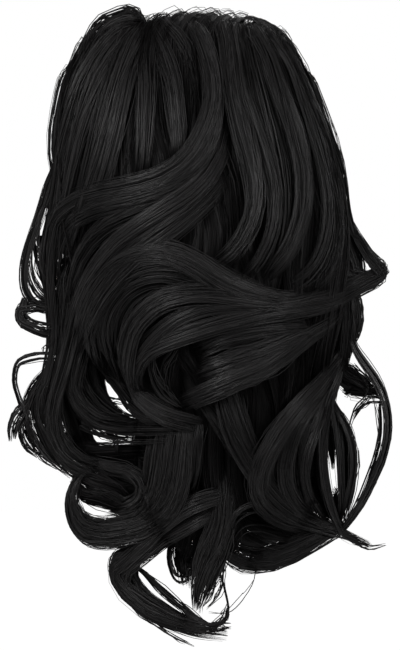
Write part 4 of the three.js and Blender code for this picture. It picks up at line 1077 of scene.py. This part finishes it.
def traced_hair():
    """All the locks of the tables, each group over the solid that it belongs to."""
    # A group's name, its solid, its locks, what gives their routes, and the share of strands that go astray
    groups = [
        ("crown_left", "crown_hair", CROWN_LEFT, rooted_route, 0.45),
        ("crown_right", "crown_hair", CROWN_RIGHT, rooted_route, 0.38),
        ("crown_lower", "crown_hair", CROWN_LOWER, front_route, 0.34),
        ("waist", "waist_curls", WAIST, front_route, 0.26),
        ("left", "left_curls", LEFT, front_route, 0.26),
        ("right", "right_curls", RIGHT, front_route, 0.22),
        ("tip", "tip_curls", TIP, front_route, 0.22),
    ]
    laid = {name: [(lock, route_of(lock)) for lock in rows] for name, _, rows, route_of, _ in groups}
    outer_face = OuterFace([pair for pairs in laid.values() for pair in pairs if pair[0].width >= WISP])
    for seed, (name, node, _, _, loose) in enumerate(groups, start=11):
        hair_group(name, node, laid[name], outer_face, seed, loose)
    return outer_face


def rim_point(turn, out=1.03, y=-3 * MM):
    """A point just outside the edge of the cap, turned from the right in degrees."""
    a = math.radians(turn)
    return [out * CAP_HALF_WIDTH * math.cos(a), y, out * CAP_HALF_HEIGHT * math.sin(a)]


def wavy_turns(rng, turn, downs, sway):
    """Angles of a wavy lock that falls straight on the whole."""
    phase, turns = rng.uniform(0, 2 * math.pi), rng.uniform(1.6, 2.3)
    share = (np.array(downs) - downs[0]) / (downs[-1] - downs[0])
    return turn + sway * np.minimum(1, 2 * share) * np.sin(2 * math.pi * turns * share + phase)


def back_foot(turn):
    """How far down the hair of the back reaches, in hundredths of the length, less towards the sides."""
    return np.interp(turn, [10, 50, 90, 130, 150, 170], [78, 84, 86, 84, 78, 56])


def back_routes(rng):
    """The back and the sides: two layers that fall from the cap's edge, and a low one under them."""
    for first_turn, lift, shorter in ((6, 0.5, 0), (11, 2.5, 7)):
        for turn in np.arange(first_turn, 170, 10.5):
            foot = back_foot(turn) - rng.uniform(0, 2) - shorter
            start = np.interp(abs(turn - 90), [0, 84], [22, 8])
            downs = np.linspace(start, foot, 9)
            turns = wavy_turns(rng, turn, downs, 5)
            lifts = np.interp(downs, [start, start + 15, foot], [lift, lift + 0.5, 0])
            rim = rim_point(np.interp(turn, [10, 90, 170], [352, 270, 188]))
            yield around_route(turns, downs, lifts, [rim]), 32
    for turn in np.arange(6, 170, 14):
        foot = back_foot(turn) - rng.uniform(0, 2)
        start = 44 + rng.uniform(0, 6)
        downs = np.linspace(start, foot, 9)
        turns = wavy_turns(rng, turn, downs, 5)
        lifts = np.interp(downs, [start, start + 15, foot], [-2, 0.8, 0])
        yield around_route(turns, downs, lifts), 24


def under_routes(rng):
    """Locks that fall over the top and down the front and the sides, under the traced ones."""
    for turn in np.linspace(186, 354, 19):
        foot = np.interp(turn, [180, 215, 300, 360], [50, 54, 78, 70]) - rng.uniform(0, 6)
        downs = np.linspace(3.3, foot, 9)
        turns = wavy_turns(rng, turn, downs, 4)
        lifts = np.interp(downs, [2, 30, foot], [0, 1.5, 0]) - 2.5 * (abs(turn - 270) / 84) ** 4
        rim = rim_point(np.interp(turn, [186, 354], [172, 8]))
        rim_top = [rim[0] * 1.05, -16 * MM, rim[2] + 2 * MM]
        yield around_route(turns, downs, lifts, [rim, rim_top]), 28


def falling_hair(name, routes_of, width, finish, seed, outer_face=None):
    """The strands and the dense insides of wide locks that fall from the cap's edge."""
    rng = np.random.default_rng(seed)
    strands, insides = [], []
    for route, count in routes_of(rng):
        strands.append(strands_of(route, width, count, rng, root=0.5, tip=0.35))
        insides.append(body_of(route, width, root=0.5, tip=0.35))
    lay_strands(f"{name}_strands", "under_hair", strands, finish, rng, outer_face)
    lay_insides(f"{name}_locks", "under_hair", insides, rng, outer_face)


outer_face = traced_hair()
falling_hair("back", back_routes, 17, FIBRE, 21)
# The hair under the traced locks takes the duller copy of the fibre, as painted shade
falling_hair("under", under_routes, 18, SHADED_FIBRE, 22, outer_face)


# Bulk, cap and comb


def mesh_of(name, bm, smooth=True):
    """The finished mesh of a bmesh, its faces pointing outwards."""
    bmesh.ops.recalc_face_normals(bm, faces=bm.faces)
    for face in bm.faces:
        face.smooth = smooth
    mesh = bpy.data.meshes.new(name)
    bm.to_mesh(mesh)
    bm.free()
    return mesh


def settled(piece):
    """The piece with its modifiers worked into its mesh."""
    depsgraph = bpy.context.evaluated_depsgraph_get()
    mesh = bpy.data.meshes.new_from_object(piece.evaluated_get(depsgraph))
    piece.modifiers.clear()
    piece.data = mesh
    return piece


def ellipsoid(half_width, depth, half_height, rings=24):
    """A bmesh like a flattened ball, with its poles on the way in and out of the cap."""
    bm = bmesh.new()
    bmesh.ops.create_uvsphere(bm, u_segments=2 * rings, v_segments=rings, radius=1)
    bmesh.ops.transform(bm, matrix=Matrix.Rotation(math.pi / 2, 4, "X"), verts=bm.verts)
    bmesh.ops.scale(bm, vec=(half_width, depth, half_height), verts=bm.verts)
    return bm


def hair_bulk():
    """The dark inside of the fall, a little smaller than the hair laid over it, hollow at the cap."""
    # The ends are blunt, as only the last rings draw in, and the back is squarer than the front
    inset, blunt = 3.5 * MM, 2.2
    bm = bmesh.new()
    bmesh.ops.create_uvsphere(bm, u_segments=56, v_segments=44, radius=1)
    top, foot = BULK[0].down / 100, BULK[-1].down / 100
    for vert in bm.verts:
        down = top + (foot - top) * math.acos(max(-1, min(1, vert.co.z))) / math.pi
        z = RISE_ABOVE_SEAT - down * FALL_LENGTH
        middle_x, middle_y, half_width, half_depth = bulk_at(np.array(z))
        ring = math.hypot(vert.co.x, vert.co.y)
        c, s = (vert.co.x / ring, vert.co.y / ring) if ring > 1e-6 else (0, 0)
        full = min(1, ring * blunt)
        depth = math.sqrt(max(0, 1 - c**4)) if s > 0 else s
        vert.co = (
            middle_x + c * max(0, half_width - inset) * full,
            middle_y + depth * max(0, half_depth - inset) * full,
            z - inset * math.copysign(1 - full, vert.co.z),
        )
    bulk = object_of("hair_bulk", mesh_of("hair_bulk", bm))
    room = 0.6 * MM
    cutter = object_of(
        "cap_room",
        mesh_of("cap_room", ellipsoid(CAP_HALF_WIDTH + room, CAP_DEPTH + room, CAP_HALF_HEIGHT + room)),
    )
    cut = bulk.modifiers.new("cap room", "BOOLEAN")
    cut.operation = "DIFFERENCE"
    cut.solver = "EXACT"
    cut.object = cutter
    settled(bulk)
    bpy.data.objects.remove(cutter)
    return bulk


def cap_shell():
    """The cap: a shallow dome of net with ridges where the rows of hair are sewn on."""
    row_turn, groove = math.radians(15), 0.45 * MM
    bm = ellipsoid(CAP_HALF_WIDTH, CAP_DEPTH, CAP_HALF_HEIGHT, 40)
    bmesh.ops.bisect_plane(
        bm, geom=[*bm.verts, *bm.edges, *bm.faces], plane_co=(0, 0, 0), plane_no=(0, 1, 0), clear_outer=True
    )
    for vert in bm.verts:
        turn = math.acos(max(-1, min(1, -vert.co.y / CAP_DEPTH)))
        between_rows = max(0, math.cos(turn * 2 * math.pi / row_turn)) ** 2
        vert.co *= 1 - groove * between_rows / CAP_HALF_HEIGHT
    cap = object_of("cap_shell", mesh_of("cap_shell", bm))
    wall = cap.modifiers.new("wall", "SOLIDIFY")
    wall.thickness = CAP_WALL
    wall.offset = -1
    return settled(cap)


def cap_hem():
    """The rounded elastic edge round the cap's mouth."""
    bm = bmesh.new()
    half = 1.25 * MM
    bmesh.ops.create_circle(bm, cap_ends=False, segments=12, radius=half)
    bmesh.ops.translate(bm, vec=(CAP_HALF_WIDTH - CAP_WALL / 2, 0, 0), verts=bm.verts)
    bmesh.ops.spin(
        bm,
        geom=[*bm.verts, *bm.edges],
        cent=(0, 0, 0),
        axis=(0, 1, 0),
        angle=2 * math.pi,
        steps=96,
        use_merge=True,
    )
    flatten = (CAP_HALF_HEIGHT - CAP_WALL / 2) / (CAP_HALF_WIDTH - CAP_WALL / 2)
    for vert in bm.verts:
        vert.co.z *= flatten
        vert.co.y -= half
    return object_of("cap_hem", mesh_of("cap_hem", bm))


def rounded_comb():
    """The comb with its edges rounded."""
    bm = bmesh.new()
    bm.from_mesh(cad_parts["hair_comb"].data)
    bmesh.ops.remove_doubles(bm, verts=bm.verts, dist=0.01 * MM)
    bmesh.ops.dissolve_limit(bm, angle_limit=math.radians(1), verts=bm.verts, edges=bm.edges)
    comb = object_of("comb", mesh_of("comb", bm, smooth=False))
    rounding = comb.modifiers.new("rounding", "BEVEL")
    rounding.width = 0.35 * MM
    rounding.segments = 2
    rounding.limit_method = "ANGLE"
    return settled(comb)


finish_piece(hair_bulk(), DEEP, "under_hair")
finish_piece(cap_shell(), NET, "base_cap")
finish_piece(cap_hem(), NET, "base_cap")
finish_piece(rounded_comb(), PLASTIC, "hair_comb")


# Floor, light and camera

# In pixels: the photograph's height, the fall's, and how far the photograph's middle lies left of the
# fall's and below its top
PHOTO_HEIGHT = 650
FALL_PIXELS = 645
MIDDLE_LEFT = 2
MIDDLE_DOWN = 322
PIXEL = FALL_LENGTH / FALL_PIXELS
MIDDLE = (-MIDDLE_LEFT * PIXEL, -45 * MM, RISE_ABOVE_SEAT - MIDDLE_DOWN * PIXEL)
CAMERA_DISTANCE = 3
FLOOR_RADIUS = 40
FLOOR_DROP = 1.5


def where_seen(tree, hidden, seen):
    """One strength where the backdrop lights the hair, another where it is seen itself."""
    path = tree.nodes.new("ShaderNodeLightPath")
    return to_range(tree, path.outputs["Is Camera Ray"], hidden, seen)


def studio():
    """A wide white floor below the hair, in plain white light from all round."""
    bm = bmesh.new()
    bmesh.ops.create_circle(bm, cap_ends=True, segments=96, radius=FLOOR_RADIUS)
    bmesh.ops.translate(bm, vec=(0, 0, -FLOOR_DROP), verts=bm.verts)
    floor = object_of("floor", mesh_of("floor", bm))
    paint, tree, shader = material("white_floor", 0.8, 0.1)
    shader.inputs["Base Color"].default_value = (0.9, 0.9, 0.9, 1)
    shader.inputs["Emission Color"].default_value = (1, 1, 1, 1)
    tree.links.new(where_seen(tree, 0, 0.8), shader.inputs["Emission Strength"])
    floor.data.materials.append(paint)
    world = bpy.data.worlds.new("studio")
    bpy.context.scene.world = world
    world.use_nodes = True
    sky = world.node_tree
    sky.nodes["Background"].inputs["Color"].default_value = (1, 1, 1, 1)
    sky.links.new(where_seen(sky, 0.25, 1), sky.nodes["Background"].inputs["Strength"])
    bpy.context.scene.view_settings.view_transform = "Standard"


def soft_light(name, place, target, size, power):
    """A round area light that faces the target."""
    data = bpy.data.lights.new(name, "AREA")
    data.shape = "DISK"
    data.size = size
    data.energy = power
    light = object_of(name, data)
    light.location = place
    light.rotation_euler = (Vector(target) - Vector(place)).to_track_quat("-Z", "Y").to_euler()


def camera():
    """Level with the middle of the photograph and far off, as a long lens is."""
    data = bpy.data.cameras.new("camera")
    data.lens = data.sensor_width * CAMERA_DISTANCE / (PHOTO_HEIGHT * PIXEL)
    made = object_of("camera", data)
    made.location = (MIDDLE[0], MIDDLE[1] - CAMERA_DISTANCE, MIDDLE[2])
    made.rotation_euler = (math.pi / 2, 0, 0)
    bpy.context.scene.camera = made


studio()
soft_light("left", (-0.85, -1.05, 0.5), MIDDLE, 0.6, 9.8)
soft_light("right", (0.85, -1.05, 0.3), MIDDLE, 0.6, 6.3)
soft_light("back", (0.5, 1.2, 0.35), MIDDLE, 0.9, 3)
camera()
